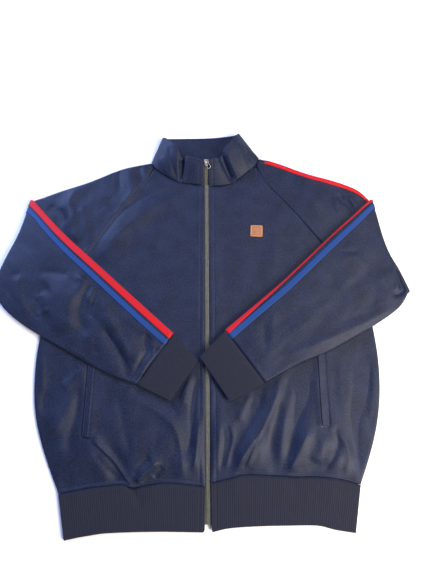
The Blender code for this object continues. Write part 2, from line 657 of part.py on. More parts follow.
def sleeve_rings(side):
    """Rings of the folded sleeve, from the raglan seam out to the elbow and back to the cuff."""
    s = SIGN[side]
    gap = CREASE_GAP[side]
    axis_z = EDGE_TOP + gap
    start = shoulder[side].at(0)
    front_first = Line([start] + list(reversed(front_raglan[side].points))).moved(HALF_GAP * s)
    back_first = Line([start] + list(reversed(back_raglan[side].points))).moved(HALF_GAP * s)
    tape_room = TAPE_LIFT + TAPE_THICK
    tape_end = max(TAPES[side]["blue"])
    rings = []

    def tape_lift(distance):
        return tape_room * ease((tape_end + 8 - distance) / 8) if distance > 0 else tape_room

    def section(first, fold_line, along, inner, outer):
        length = first.length * (1 - along) + fold_line.length * along

        def point(across):
            return between(first, fold_line, inner, outer, across, along)

        return length, point

    for i in range(UPPER_RINGS):
        along = (i / UPPER_RINGS) ** 0.9
        length, front_xy = section(front_first, elbow[side], along, shoulder[side], underarm[side])
        back_xy = section(back_first, elbow[side], along, shoulder[side], underarm[side])[1]

        def front_point(across, xy=front_xy, width=length):
            spot = xy(across)
            edge = min(across, 1 - across) * width
            level = body_top(spot.x, spot.y)[0]
            return (spot.x, spot.y, FOLD_RADIUS + (level - FOLD_RADIUS) * round_off(edge))

        def back_point(across, xy=back_xy, width=length):
            spot = xy(across)
            edge = min(across, 1 - across) * width
            lift = tape_lift(across * width)
            return (spot.x, spot.y, lift + (FOLD_RADIUS - lift) * (1 - round_off(edge)))

        rings.append(ring_of(side, length, front_point, back_point))

    chord = elbow[side].at(1) - elbow[side].at(0)
    out = Vector((-chord.y, chord.x)).normalized()
    out = out if out.x * s > 0 else -out
    for turn in (0, 45, 90, 135, 180):
        angle = math.radians(turn)

        def bent(across, height, angle=angle):
            spot = elbow[side].at(across)
            reach = axis_z - height
            spot = spot + out * reach * math.sin(angle)
            return (spot.x, spot.y, axis_z - reach * math.cos(angle))

        width = elbow[side].length

        def front_point(across, width=width, bent=bent):
            edge = min(across, 1 - across) * width
            return bent(across, FOLD_RADIUS + FOLD_RADIUS * round_off(edge))

        def back_point(across, width=width, bent=bent):
            edge = min(across, 1 - across) * width
            lift = tape_lift(across * width)
            return bent(across, lift + (FOLD_RADIUS - lift) * (1 - round_off(edge)))

        rings.append(ring_of(side, width, front_point, back_point))

    low = axis_z + gap
    middle = low + FOLD_RADIUS
    seam_cross = Line([forearm_upper[side].at(1), forearm_lower[side].at(1)])
    for i in range(1, FOREARM_RINGS + 1):
        along = i / FOREARM_RINGS
        if i == FOREARM_RINGS:
            along -= HALF_GAP / forearm_upper[side].length
        length, xy = section(elbow[side], seam_cross, along, forearm_upper[side], forearm_lower[side])

        def back_point(across, xy=xy, width=length, along=along):
            spot = xy(across)
            edge = min(across, 1 - across) * width
            puff = FOREARM_PUFF * ease((edge - 2) / 40) * ease(along * 5) * ease((1 - along) * 6)
            folds = fold_rise(forearm_folds[side], spot) * ease((edge + 2) / 12)
            folds *= 0.35 + 0.65 * ease((1 - along) * 14)
            under_tape = ease((tape_end - across * width) / 16)
            level = 2 * axis_z + puff + folds * (1 - 0.8 * under_tape)
            level -= tape_lift(across * width) * (1 - ease(along * 6))
            level = max(level, low + CLOTH * 2 + 0.8)
            return (spot.x, spot.y, middle + (level - middle) * round_off(edge))

        def front_point(across, xy=xy, width=length):
            spot = xy(across)
            edge = min(across, 1 - across) * width
            return (spot.x, spot.y, middle - FOLD_RADIUS * round_off(edge))

        rings.append(ring_of(side, length, front_point, back_point))
    return rings


def make_sleeve(side):
    rings = sleeve_rings(side)
    obj = cloth(f"sleeve_{side}", rings, CLOTH, navy_cloth, turned=side == "right", closed=True)
    return obj, rings


def ring_column(side, distance):
    """Number of the ring's column that lies this far round from the shoulder edge."""
    steps = SLEEVE_STEPS[side]
    total = 2
    for face in ("front", "back"):
        total += len(steps[face]) + SLEEVE_MIDDLE[face] - 1 + len(UNDERARM_STEPS)
    if distance < 0:
        return steps["front"].index(-distance) + 1
    return total if distance == 0 else total - 1 - steps["back"].index(distance)


def outward(rings, j, i):
    """Direction out of the sleeve at one of its points."""
    wide = len(rings[0]) - 1
    before, after = rings[max(j - 1, 0)], rings[min(j + 1, len(rings) - 1)]
    along = Vector(after[i % wide]) - Vector(before[i % wide])
    around = Vector(rings[j][(i + 1) % wide]) - Vector(rings[j][(i - 1) % wide])
    return around.cross(along).normalized()


def make_tape(side, colour, rings, material):
    """A tape that lies on the sleeve from its neck edge to its cuff."""
    start, end = TAPES[side][colour]
    wide = len(rings[0]) - 1
    first = ring_column(side, end)
    last = ring_column(side, start)
    last = last + wide if start < 0 else last
    rows = []
    for j in range(len(rings)):
        row = []
        for i in range(first, last + 1):
            point = Vector(rings[j][i % wide])
            out = outward(rings, j, i) * SIGN[side]
            row.append(point + out * (TAPE_LIFT + TAPE_THICK))
        rows.append(row)
    turned = side == "right"
    return cloth(f"tape_{colour}_{side}", rows, TAPE_THICK, material, turned=turned, even=False)


# ---------------------------------------------------------------- ribs


def profile(edge, wall, radius):
    """How far in, and how much less high, the inside of a rounded edge lies."""
    if edge >= radius:
        return 0.0, wall
    lean = 1 - edge / radius
    return wall * lean, wall * math.sqrt(max(1 - lean * lean, 0.0))


def make_cuff(side):
    s = SIGN[side]
    gap = CREASE_GAP[side]
    low = EDGE_TOP + 2 * gap
    top = 2 * (EDGE_TOP + gap)
    middle = (low + top) / 2
    radius = (top - low) / 2
    seam = Line([forearm_upper[side].at(1), forearm_lower[side].at(1)])
    mouth = Line(CUFF_MOUTH[side])
    ribs = round(seam.length / CUFF_PITCH)
    ribs += ribs % 2
    columns = 2 * ribs
    outer, inner = [], []
    for along in (HALF_GAP / 60, 1.0):
        row, plain = [], []
        for face in (1, -1):
            for k in range(columns):
                across = k / columns if face == 1 else 1 - k / columns
                spot = seam.at(across).lerp(mouth.at(across), along)
                width = seam.length * (1 - along) + mouth.length * along
                edge = min(across, 1 - across) * width
                rise = radius * round_off(edge, radius)
                inward = (seam.at(1) - seam.at(0)).normalized() * (1 if across < 0.5 else -1)
                if rise > 1:
                    rise += ((k % 2) - 1) * RIB_RELIEF
                row.append((spot.x, spot.y, middle + face * rise))
                if k % CUFF_STRIDE == 0:
                    shift, drop = profile(edge, RIB_WALL - RIB_RELIEF, radius)
                    spot = spot + inward * shift
                    height = max(rise - drop, 0.0) if rise > 1 - RIB_RELIEF else 0.0
                    plain.append((spot.x, spot.y, middle + face * height))
        outer.append(row)
        inner.append(plain)
    return lined_wall(f"cuff_{side}", outer, inner, CUFF_STRIDE, rib_cloth, side == "left", True)


def hem_top(spot, across):
    """Height of the hem band's plain front face."""
    return EDGE_TOP + fold_rise(band_folds, spot) * ease(min(across, 1 - across) * 8)


def make_hem():
    """One band from the zip round the back to the zip again."""
    rows_along = (0.0, 0.5, 1.0)
    halves = {}
    for side in SIDES:
        ribs = round(hem_edge[side].length / HEM_PITCH)
        ribs += (-ribs) % 3
        halves[side] = 2 * ribs
    outer, inner = [], []
    for along in rows_along:
        row, plain = [], []

        def front_half(side, order):
            count = halves[side]
            low, high = hem_edge[side], hem_seam[side].moved(-HALF_GAP * SIGN[side])
            width = low.length * (1 - along) + high.length * along
            for k in order:
                across = k / count
                spot = low.at(across).lerp(high.at(across), along)
                edge = (1 - across) * width
                top = hem_top(spot, across)
                rise = (top - FOLD_RADIUS) * round_off(edge)
                relief = RIB_RELIEF * (k % 2) if rise > 1 else 0.0
                row.append((spot.x, spot.y, FOLD_RADIUS + rise + relief))
                if k % HEM_STRIDE == 0:
                    shift, drop = profile(edge, RIB_WALL, FOLD_RADIUS)
                    x = spot.x - SIGN[side] * shift
                    plain.append((x, spot.y, FOLD_RADIUS + max(rise - drop, 0.0)))

        front_half("right", range(halves["right"] + 1))
        low, high = back_hem_edge, back_hem_seam.moved(-HALF_GAP)
        width = low.length * (1 - along) + high.length * along
        # Columns of the back come in strides too, the first and last of them on the rounded edges.
        marks, last = HEM_BACK_MARKS, HEM_BACK_MARKS[-1]
        step = (width - 2 * last) / HEM_BACK_MIDDLE
        near = marks + [last + step * k for k in range(1, HEM_BACK_MIDDLE)]
        near += [width - d for d in reversed(marks)]
        near = near[1:-1]
        while (len(near) + 1) % HEM_STRIDE:
            widest = len(marks)
            near.insert(widest, (near[widest - 1] + near[widest]) / 2)
        for k, reach in enumerate(near, start=1):
            across = reach / width
            spot = low.at(across).lerp(high.at(across), along)
            edge = min(reach, width - reach)
            row.append((spot.x, spot.y, FOLD_RADIUS * (1 - round_off(edge))))
            if k % HEM_STRIDE == 0:
                plain.append((spot.x, spot.y, RIB_WALL))
        front_half("left", range(halves["left"], -1, -1))
        outer.append(row)
        inner.append(plain)
    return lined_wall("hem_rib", outer, inner, HEM_STRIDE, rib_cloth, True, False)


# ---------------------------------------------------------------- collar


def neck_loop():
    """The neck seam all round, from the wearer's right of the zip to the left of it."""
    points = list(front_neck["right"].points) + [shoulder["right"].at(0)]
    points += list(back_neck.points) + [shoulder["left"].at(0)]
    return Line(points + list(reversed(front_neck["left"].points)))


def clear_of(loop, share, room):
    """Point of the loop at this share, moved up the page off both the stretches that meet there."""
    here, ways = loop.at(share), []
    for way in (here - loop.at(share - 0.003), loop.at(share + 0.003) - here):
        if way.length > 0:
            off = Vector((-way.y, way.x)).normalized()
            ways.append(off if off.y > 0 else -off)
    first, last = ways[0], ways[-1]
    return here + (first + last) * room / (1 + first.dot(last))


def make_collar():
    loop = neck_loop()
    seams = smooth([(*station["seam"], 0.0) for station in COLLAR], COLLAR_STEPS)
    edges = smooth([station["edge"] for station in COLLAR], COLLAR_STEPS)
    bows = smooth([(station["bow"], 0.0, 0.0) for station in COLLAR], COLLAR_STEPS)
    folds = [COLLAR_FOLDS[s] * COLLAR_STEPS for s in SIDES]
    middle = Vector((-12.0, 655.0, 0.0))
    rows = []
    for along in COLLAR_LEVELS:
        row = []
        for i, (seam, edge, bow) in enumerate(zip(seams, edges, bows)):
            front = i < folds[0] or i > folds[1]
            steps = min(abs(i - folds[0]), abs(i - folds[1]))
            from_zip = abs(seam.x - zip_x(seam.y)) - ZIP_HALF_GAP
            rise = ZIP_TOP + (COLLAR_FOOT - ZIP_TOP) * ease(2 - from_zip / 14) if front else 0.0
            if steps < len(COLLAR_TURN):
                rise = COLLAR_TURN[steps] if front else 2 * FOLD_RADIUS - COLLAR_TURN[steps]
            foot = clear_of(loop, loop.share_of(seam.to_2d()), NECK_SEAM / 2)
            reach = max(along, CORNER_LIFT) if steps < 2 else along
            point = Vector((foot.x, foot.y, rise)).lerp(edge, reach)
            if front:
                lift = 4 * along * (1 - along) * bow.x
                away = Vector((point.x - middle.x, point.y - middle.y, 0.0)).normalized()
                point += Vector((0.0, 0.0, lift)) + away * lift * 0.25
            point.z = max(point.z, 0.0)
            row.append(point)
        rows.append(row)
    return cloth("collar", rows, COLLAR_WALL, navy_cloth, turned=True), rows


# ---------------------------------------------------------------- welts and patch


def draped(name, points, tree, thick, material):
    """A strip laid on a panel: its points come down onto the panel and stand off it a little."""
    rows = []
    for row in points:
        landed = []
        for x, y in row:
            hit = tree.ray_cast(Vector((x, y, 100.0)), Vector((0, 0, -1)))[0]
            landed.append((x, y, hit.z + TRIM_LIFT + thick))
        rows.append(landed)
    return cloth(name, rows, thick, material, even=False)


def tree_of(rows):
    points = [Vector(p) for row in rows for p in row]
    wide = len(rows[0])
    faces = []
    for j in range(len(rows) - 1):
        for i in range(wide - 1):
            a = j * wide + i
            faces.append((a, a + 1, a + wide + 1, a + wide))
    return BVHTree.FromPolygons(points, faces)


def make_welt(side, front_rows):
    welt = WELTS[side]
    count = round((welt["head"] - welt["foot"]) / 8)
    points = []
    for j in range(count + 1):
        y = welt["foot"] + (welt["head"] - welt["foot"]) * j / count
        points.append([(welt["x"] + WELT_WIDE * k / 2, y) for k in (-1, 0, 1)])
    return draped(f"pocket_welt_{side}", points, tree_of(front_rows), WELT_THICK, navy_cloth)


def make_patch(front_rows):
    turn = Matrix.Rotation(math.radians(PATCH["turn"]), 2)
    half = PATCH["wide"] / 2
    points = []
    for j in (-1, -0.92, 0, 0.92, 1):
        row = []
        for k in (-1, -0.92, 0, 0.92, 1):
            corner = 0.96 if abs(j) == abs(k) == 1 else 1.0
            spot = turn @ Vector((k * half * corner, j * half * corner))
            row.append((PATCH["x"] + spot.x, PATCH["y"] + spot.y))
        points.append(row)
    return draped("chest_patch", points, tree_of(front_rows), PATCH_THICK, leather)


# ---------------------------------------------------------------- zip


def collar_line(collar_rows):
    """The line up the middle of the zip on the collar's face, from its foot to its top edge."""
    points = []
    for row in collar_rows:
        point = (row[0] + row[-1]) / 2
        points.append(Vector((zip_x(point.y), point.y, point.z)))
    return points


def frame_at(points, share):
    """Place and directions on the collar's face: along the zip, across it, and out of the cloth."""
    reach = share * (len(points) - 1)
    i = min(int(reach), len(points) - 2)
    along = (points[i + 1] - points[i]).normalized()
    across = Vector((1.0, 0.0, 0.0))
    out = across.cross(along).normalized()
    across = along.cross(out)
    return points[i].lerp(points[i + 1], reach - i), along, across, out


def make_zip_half(side, middle_line):
    """One tape with its half of the coil, up the front and on up the inside of the collar."""
    s = SIGN[side]
    flat = Vector((0.0, 0.0, 1.0))
    stations = [(Vector((zip_x(y), y, ZIP_LOW)), flat, TAPE_HALF) for y in (ZIP_FOOT_Y, 330.0, 618.0)]
    under = COLLAR_WALL + ZIP_ROOM + ZIP_TAPE_THICK
    end = SLIDER["at"] + 0.03
    for share in (0.0, 0.25, 0.5, end):
        spot, along, across, out = frame_at(middle_line, share)
        stations.append((spot - out * under, out, TAPE_HALF_TOP))
    rows = []
    tape, coil = ZIP_TAPE_THICK, ZIP_TAPE_THICK + COIL_RISE
    for spot, out, half in stations:
        section = [(HALF_GAP, 0.0), (half, 0.0), (half, tape), (COIL_HALF, tape)]
        section += [(COIL_HALF - 0.6, coil), (HALF_GAP, coil)]
        rows.append([spot + Vector((s * x, 0.0, 0.0)) + out * z for x, z in section])
    return prism(f"zip_tape_{side}", rows, zip_cloth, turned=side == "left")


def prism(name, rows, material, turned=False):
    """A solid through closed sections that all have the same number of points."""
    bm = bmesh.new()
    rings = [[bm.verts.new(place(p)) for p in row] for row in rows]
    wide = len(rings[0])
    for low, high in zip(rings, rings[1:]):
        for i in range(wide):
            k = (i + 1) % wide
            bm.faces.new((low[i], low[k], high[k], high[i]))
    bm.faces.new(rings[0][::-1])
    bm.faces.new(rings[-1])
    if turned:
        bmesh.ops.reverse_faces(bm, faces=bm.faces)
    mesh = bpy.data.meshes.new(name)
    bm.to_mesh(mesh)
    bm.free()
    return add_object(name, mesh, material)


def block(name, size, middle, frame, bevel=0.0):
    """A box in a local frame, given by its size and its middle across, along and out."""
    bpy.ops.mesh.primitive_cube_add(size=1.0)
    obj = bpy.context.active_object
    obj.name = name
    obj.data.transform(Matrix.Diagonal((*[d * MM for d in size], 1.0)))
    obj.data.transform(Matrix.Translation(Vector(middle) * MM))
    obj.matrix_world = frame
    if bevel:
        soft = obj.modifiers.new("soft_edges", "BEVEL")
        soft.width = bevel * MM
        soft.segments = 2
    for owner in list(obj.users_collection):
        owner.objects.unlink(obj)
    return obj


def local_frame(spot, along, across, out):
    turn = Matrix((across, along, out)).transposed().to_4x4()
    return Matrix.Translation(place(spot)) @ turn


def make_slider(middle_line):
    """The zip's slider: a top plate, a bridge for the pull, a post and a bottom plate."""
    spot, along, across, out = frame_at(middle_line, SLIDER["at"])
    frame = local_frame(spot, along, across, out)
    plate, lift = SLIDER["plate"], SLIDER["lift"]
    top = lift + plate
    half = SLIDER["long"] / 2
    under = -(COLLAR_WALL + ZIP_ROOM + ZIP_TAPE_THICK + LOWER_PLATE["room"])
    size = (SLIDER["wide"], SLIDER["long"], plate)
    body = block("zip_slider", size, (0, 0, lift + plate / 2), frame, SLIDER["bevel"])
    body.data.materials.append(steel)
    jacket.objects.link(body)
    post_at = half - POST["in"] - POST["long"] / 2
    lower = LOWER_PLATE["thick"]
    foot = (SLIDER["wide"] - LOWER_PLATE["narrower"], SLIDER["long"] - LOWER_PLATE["shorter"], lower)
    bridge_top = top + BRIDGE["high"]
    leg = BRIDGE["leg"]
    leg_at = (BRIDGE["long"] - leg) / 2
    leg_middle = top - SUNK + BRIDGE["high"] / 2
    added = [
        ((POST["wide"], POST["long"], top - under), (0, post_at, (top + under) / 2 - SUNK)),
        (foot, (0, 0, under - lower / 2)),
        ((BRIDGE["wide"], leg, BRIDGE["high"]), (0, -leg_at, leg_middle)),
        ((BRIDGE["wide"], leg, BRIDGE["high"]), (0, leg_at, leg_middle)),
        ((BRIDGE["wide"], BRIDGE["long"], BRIDGE["bar"]), (0, 0, bridge_top - BRIDGE["bar"] / 2)),
    ]
    for n, (size, centre) in enumerate(added):
        helper = block(f"slider_piece_{n}", size, centre, frame)
        helper.hide_render = True
        helper.display_type = "WIRE"
        helpers.objects.link(helper)
        union = body.modifiers.new(f"union_{n}", "BOOLEAN")
        union.operation = "UNION"
        union.object = helper
    return frame, top


def make_pull(frame, top):
    """The pull: a loop of wire through the bridge, lying askew down the zip."""
    yaw = Matrix.Rotation(math.radians(PULL["yaw"]), 4, "Z")
    pitch = Matrix.Rotation(math.radians(PULL["pitch"]), 4, "X")
    half, far, long = PULL["half"], PULL["far_half"], PULL["long"]
    bend, end = -long * PULL_BEND, far - 1.0
    outline_points = [
        (-half, -0.4), (-half + 0.6, 0.3), (half - 0.6, 0.3), (half, -0.4),
        (far, bend), (end, -long), (-end, -long), (-far, bend),
    ]
    curve = bpy.data.curves.new("zip_pull", "CURVE")
    curve.dimensions = "3D"
    curve.bevel_depth = PULL["wire"] * MM
    curve.bevel_resolution = 2
    line = curve.splines.new("POLY")
    line.points.add(len(outline_points) - 1)
    for point, (x, y) in zip(line.points, outline_points):
        point.co = (x * MM, (y - 0.3) * MM, 0.0, 1.0)
    line.use_cyclic_u = True
    pull = bpy.data.objects.new("zip_pull", curve)
    pull.matrix_world = frame @ Matrix.Translation((0, 0, (top + PULL["pivot"]) * MM)) @ yaw @ pitch
    curve.materials.append(steel)
    jacket.objects.link(pull)
    return pull


# ---------------------------------------------------------------- build

for old in list(bpy.data.objects):
    bpy.data.objects.remove(old, do_unlink=True)
bpy.context.scene.collection.children.link(jacket)

helpers = bpy.data.collections.new("helpers")
bpy.context.scene.collection.children.link(helpers)

navy_cloth = finish("navy_tricot", NAVY, 0.55)
rib_cloth = finish("navy_rib", RIB_NAVY, 0.8)
red_tape = finish("red_tape", RED, 0.6)
blue_tape = finish("blue_tape", BLUE, 0.6)
zip_cloth = finish("zip_coil", ZIP_OLIVE, 0.5)
leather = finish("tan_leather", LEATHER, 0.5)
steel = finish("bright_metal", STEEL, 0.25, 1.0)

make_back()
front_points = {}
for wearer_side in SIDES:
    front_points[wearer_side] = make_front(wearer_side)[1]
    make_welt(wearer_side, front_points[wearer_side])
    sleeve_points = make_sleeve(wearer_side)[1]
    make_tape(wearer_side, "red", sleeve_points, red_tape)
    make_tape(wearer_side, "blue", sleeve_points, blue_tape)
    make_cuff(wearer_side)
make_patch(front_points["left"])
make_hem()
zip_line = collar_line(make_collar()[1])
for wearer_side in SIDES:
    make_zip_half(wearer_side, zip_line)
slider_frame, slider_top = make_slider(zip_line)
make_pull(slider_frame, slider_top)
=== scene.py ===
# %% [markdown]
# # A zip-front track jacket, laid flat
#
# The solids of the jacket are already cut, sewn and folded. This lesson dresses them: it gives
# the cloth its creases, the ribs their wales, the zip its coil and every seam its stitches.
# Sizes are in millimetres from the foot of the zip, with x towards the wearer's left, y towards
# the collar and z up from the table, because that is how a maker would measure the garment.

# %% Load the solids
import math

import bmesh
import bpy
import numpy as np
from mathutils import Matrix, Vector, noise
from mathutils.bvhtree import BVHTree


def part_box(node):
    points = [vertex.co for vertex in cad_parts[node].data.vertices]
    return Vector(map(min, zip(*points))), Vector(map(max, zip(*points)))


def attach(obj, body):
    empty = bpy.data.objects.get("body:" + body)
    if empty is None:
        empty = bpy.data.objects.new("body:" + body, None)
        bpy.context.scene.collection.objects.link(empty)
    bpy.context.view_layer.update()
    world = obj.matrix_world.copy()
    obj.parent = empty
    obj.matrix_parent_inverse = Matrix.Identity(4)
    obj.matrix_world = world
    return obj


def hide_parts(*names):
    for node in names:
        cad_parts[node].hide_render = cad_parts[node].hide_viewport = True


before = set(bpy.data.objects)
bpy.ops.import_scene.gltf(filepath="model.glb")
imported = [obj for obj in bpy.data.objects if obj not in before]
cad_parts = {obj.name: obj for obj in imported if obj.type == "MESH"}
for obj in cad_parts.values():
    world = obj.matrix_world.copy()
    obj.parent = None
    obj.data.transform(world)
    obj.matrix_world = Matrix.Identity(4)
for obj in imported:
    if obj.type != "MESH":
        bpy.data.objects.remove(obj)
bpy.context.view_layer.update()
bpy.ops.object.select_all(action="DESELECT")

# %% [markdown]
# The frame's origin is the middle of the jacket's underside. Two small functions go from the
# garment's own millimetres to the frame's metres and back.

# %% From garment sizes to the frame
MM = 0.001
ORIGIN = np.array((-15.6, 363.625, 0.0))


def in_frame(points):
    return (np.asarray(points, float) - ORIGIN) * MM


def in_mm(points):
    return np.asarray(points, float) / MM + ORIGIN


zip_foot = in_mm(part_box("zip_tape_left")[0])
print("foot of the zip at", np.round(zip_foot, 1), "mm")

# %% [markdown]
# ## Camera, light and table
#
# The jacket lies on a pale table and is looked at from above its hem, a little off upright. A
# broad lamp at the wearer's left, down by the hem, gives the cloth its lit flanks, and a smaller
# one above it glints on the zip. A cooler window beyond the right shoulder fills the far flanks.

# %% Camera
camera_data = bpy.data.cameras.new("camera")
camera_data.lens = 27.0
camera = bpy.data.objects.new("camera", camera_data)
camera.location = (0.02908, -0.162965, 0.786)
camera.rotation_euler = (math.radians(15), 0, 0)
bpy.context.scene.collection.objects.link(camera)
bpy.context.scene.camera = camera
bpy.context.scene.view_settings.view_transform = "Standard"

# %% [markdown]
# A material is a small tree of nodes. A few functions keep each tree short: one reads a colour
# as it is written on a screen, one adds a node, and two end a tree with its colour and relief.

# %% Colours and nodes


def srgb(code):
    """Linear colour of a hex value such as "#2b3350"."""
    parts = [int(code[i : i + 2], 16) / 255 for i in (1, 3, 5)]
    return [c / 12.92 if c <= 0.04045 else ((c + 0.055) / 1.055) ** 2.4 for c in parts] + [1.0]


def add(tree, kind, sockets=None, **settings):
    """Adds a node, sets its settings and sockets, and links the sockets that are given a socket."""
    node = tree.nodes.new("ShaderNode" + kind)
    for name, value in settings.items():
        setattr(node, name, value)
    for name, value in (sockets or {}).items():
        if isinstance(value, bpy.types.NodeSocket):
            tree.links.new(value, node.inputs[name])
        else:
            node.inputs[name].default_value = value
    return node


def worked(tree, operation, *values):
    """What a sum on sockets and numbers comes to, as a socket."""
    return add(tree, "Math", dict(enumerate(values)), operation=operation).outputs[0]


def new_material(name, **sockets):
    """A material with one Principled shader, whose sockets are named with spaces as underscores."""
    material = bpy.data.materials.new(name)
    material.use_nodes = True
    shader = material.node_tree.nodes["Principled BSDF"]
    for socket, value in sockets.items():
        shader.inputs[socket.replace("_", " ")].default_value = value
    return material, material.node_tree, shader


# %% Colour and relief of a finish


def colour_by(tree, shader, share, dark, light, low=0.0, high=1.0):
    """Colours the surface from dark to light as the share goes from low to high."""
    tone = add(tree, "ValToRGB", {"Fac": share})
    for stop, place, colour in zip(tone.color_ramp.elements, (low, high), (dark, light)):
        stop.position = place
        stop.color = srgb(colour)
    tree.links.new(tone.outputs["Color"], shader.inputs["Base Color"])


def relief_by(tree, shader, height, strength, depth):
    bump = add(tree, "Bump", {"Height": height, "Strength": strength, "Distance": depth})
    tree.links.new(bump.outputs["Normal"], shader.inputs["Normal"])


# %% Lamps


def add_lamp(name, place, aim, size, power, colour):
    lamp = bpy.data.lights.new(name, "AREA")
    lamp.shape = "RECTANGLE"
    lamp.size, lamp.size_y = size
    lamp.energy = power
    lamp.color = srgb(colour)[:3]
    holder = bpy.data.objects.new(name, lamp)
    holder.location = place
    way = Vector(aim) - Vector(place)
    holder.rotation_euler = way.to_track_quat("-Z", "Y").to_euler()
    bpy.context.scene.collection.objects.link(holder)


add_lamp("side_lamp", (1.35, -0.7, 1.15), (0, 0, 0), (0.8, 1.0), 60, "#fff4ec")
add_lamp("key_lamp", (0.75, 0.6, 1.4), (0, 0, 0), (0.35, 0.35), 11, "#fff4ea")
add_lamp("window", (-1.0, 0.95, 0.62), (-0.15, 0.1, 0), (0.7, 0.5), 30, "#a2bcff")
world = bpy.data.worlds.new("studio")
world.use_nodes = True
world.node_tree.nodes["Background"].inputs["Color"].default_value = srgb("#dfe8ff")
world.node_tree.nodes["Background"].inputs["Strength"].default_value = 0.22
bpy.context.scene.world = world
print(len(bpy.data.lights), "lamps")

# %% Table
bpy.ops.mesh.primitive_plane_add(size=6.0, location=(0, 0, -0.0004))
table = bpy.context.active_object
table.name = "table"
paint, tree, shader = new_material("matt_white_paint", Roughness=0.85)
grain = add(tree, "TexNoise", {"Scale": 60.0, "Detail": 2.0})
colour_by(tree, shader, grain.outputs["Fac"], "#f4f4f4", "#fbfbfb")
table.data.materials.append(paint)

# %% [markdown]
# ## Materials
#
# The panels are polyester tricot, brushed a little on the face: smooth wales that shine along
# their length, and a nap that lights up at a low angle. The knit map of each piece holds metres
# of cloth, so one wale has the same width everywhere.

# %% Knit panels
WAVE = 0.314  # a wave texture of scale 1 has its bands this far apart, in metres


def knit_coordinates(tree):
    return add(tree, "UVMap", uv_map="knit").outputs["UV"]


def tricot(name, dark, light, sheen):
    material, tree, shader = new_material(
        name,
        Roughness=0.56,
        Sheen_Weight=0.07,
        Sheen_Roughness=0.4,
        Sheen_Tint=srgb(sheen),
        Specular_IOR_Level=0.24,
        IOR=1.53,
    )
    knit = knit_coordinates(tree)
    # Wales are 0.9 mm apart on the cloth. They are drawn 1.4 mm apart, so that they show, and the
    # grain of the loops is drawn at 3 mm for the same reason.
    wales = add(tree, "TexWave", {"Vector": knit, "Scale": WAVE / 0.0014, "Distortion": 1.5})
    grain = add(tree, "TexNoise", {"Vector": knit, "Scale": 1 / 0.003, "Detail": 4.0, "Roughness": 0.7})
    blotch = add(tree, "TexNoise", {"Vector": knit, "Scale": 1 / 0.03, "Detail": 3.0})
    grains = worked(tree, "MULTIPLY", grain.outputs["Fac"], 0.75)
    both = worked(tree, "MULTIPLY_ADD", blotch.outputs["Fac"], 0.25, grains)
    colour_by(tree, shader, both, dark, light, 0.37, 0.63)
    relief = worked(tree, "MULTIPLY_ADD", wales.outputs["Fac"], 0.22, grain.outputs["Fac"])
    relief_by(tree, shader, relief, 0.6, 0.0005)
    return material


navy_tricot = tricot("brushed_polyester_tricot", "#090f22", "#202a44", "#a8b4e0")

# %% [markdown]
# The ribs are a coarser cotton knit, without the shine. Their wales are in the mesh, so the
# material only adds the rows of small loops along each wale and a duller, browner navy.

# %% Rib knit


def rib_knit(name, dark, light):
    material, tree, shader = new_material(
        name, Roughness=0.85, Sheen_Weight=0.04, Sheen_Roughness=0.5, Sheen_Tint=srgb("#8c96c8")
    )
    knit = knit_coordinates(tree)
    # Loops are 1.1 mm long on the cloth. They are drawn 1.6 mm long, so that they show.
    loops = add(tree, "TexWave", {"Vector": knit, "Scale": WAVE / 0.0016}, bands_direction="Y")
    fuzz = add(tree, "TexNoise", {"Vector": knit, "Scale": 1 / 0.0011, "Detail": 2.0})
    colour_by(tree, shader, fuzz.outputs["Fac"], dark, light, 0.3, 0.7)
    relief = worked(tree, "ADD", loops.outputs["Fac"], fuzz.outputs["Fac"])
    relief_by(tree, shader, relief, 0.5, 0.0003)
    return material


navy_rib = rib_knit("cotton_rib_knit", "#070b1a", "#11172d")

# %% [markdown]
# The tapes are woven polyester grosgrain, with fine cross ribs and a satin shine. The cloth of
# the zip is woven in the same way, only finer, so it shares their material's tree.

# %% Tapes and zip cloth


def grosgrain(name, dark, light, pitch=0.0016):
    material, tree, shader = new_material(name, Roughness=0.62, Sheen_Weight=0.08, Specular_IOR_Level=0.25)
    knit = knit_coordinates(tree)
    ribs = add(tree, "TexWave", {"Vector": knit, "Scale": WAVE / pitch}, bands_direction="Y")
    fuzz = add(tree, "TexNoise", {"Vector": knit, "Scale": 1 / 0.0009})
    # The colour follows the cross ribs' height, lighter on their backs and darker in their dips: a painted
    # shade of the ribs. The fuzz adds an uneven tone.
    both = worked(tree, "ADD", ribs.outputs["Fac"], fuzz.outputs["Fac"])
    half = worked(tree, "MULTIPLY", both, 0.5)
    colour_by(tree, shader, half, dark, light)
    relief_by(tree, shader, half, 0.5, 0.0002)
    return material


red_grosgrain = grosgrain("red_polyester_grosgrain", "#ac0814", "#c8101c")
blue_grosgrain = grosgrain("blue_polyester_grosgrain", "#0c3069", "#16417f")
zip_twill = grosgrain("olive_polyester_zip_tape", "#54564b", "#6c6e62", 0.0011)

# %% [markdown]
# Thread, nylon, leather and plated zinc have no weave. What shows is an uneven tone and a fine
# tooth, so one function makes all four, at the size of each one's grain.

# %% Thread, coil, leather and metal


def plain(name, dark, light, size, depth, **sockets):
    """A finish with an uneven tone and a fine tooth, both of about the given size in metres."""
    material, tree, shader = new_material(name, **sockets)
    spots = add(tree, "TexCoord").outputs["Object"]
    cloud = add(tree, "TexNoise", {"Vector": spots, "Scale": 1 / size, "Detail": 4.0})
    colour_by(tree, shader, cloud.outputs["Fac"], dark, light, 0.3, 0.7)
    relief_by(tree, shader, cloud.outputs["Fac"], 0.4, depth)
    return material


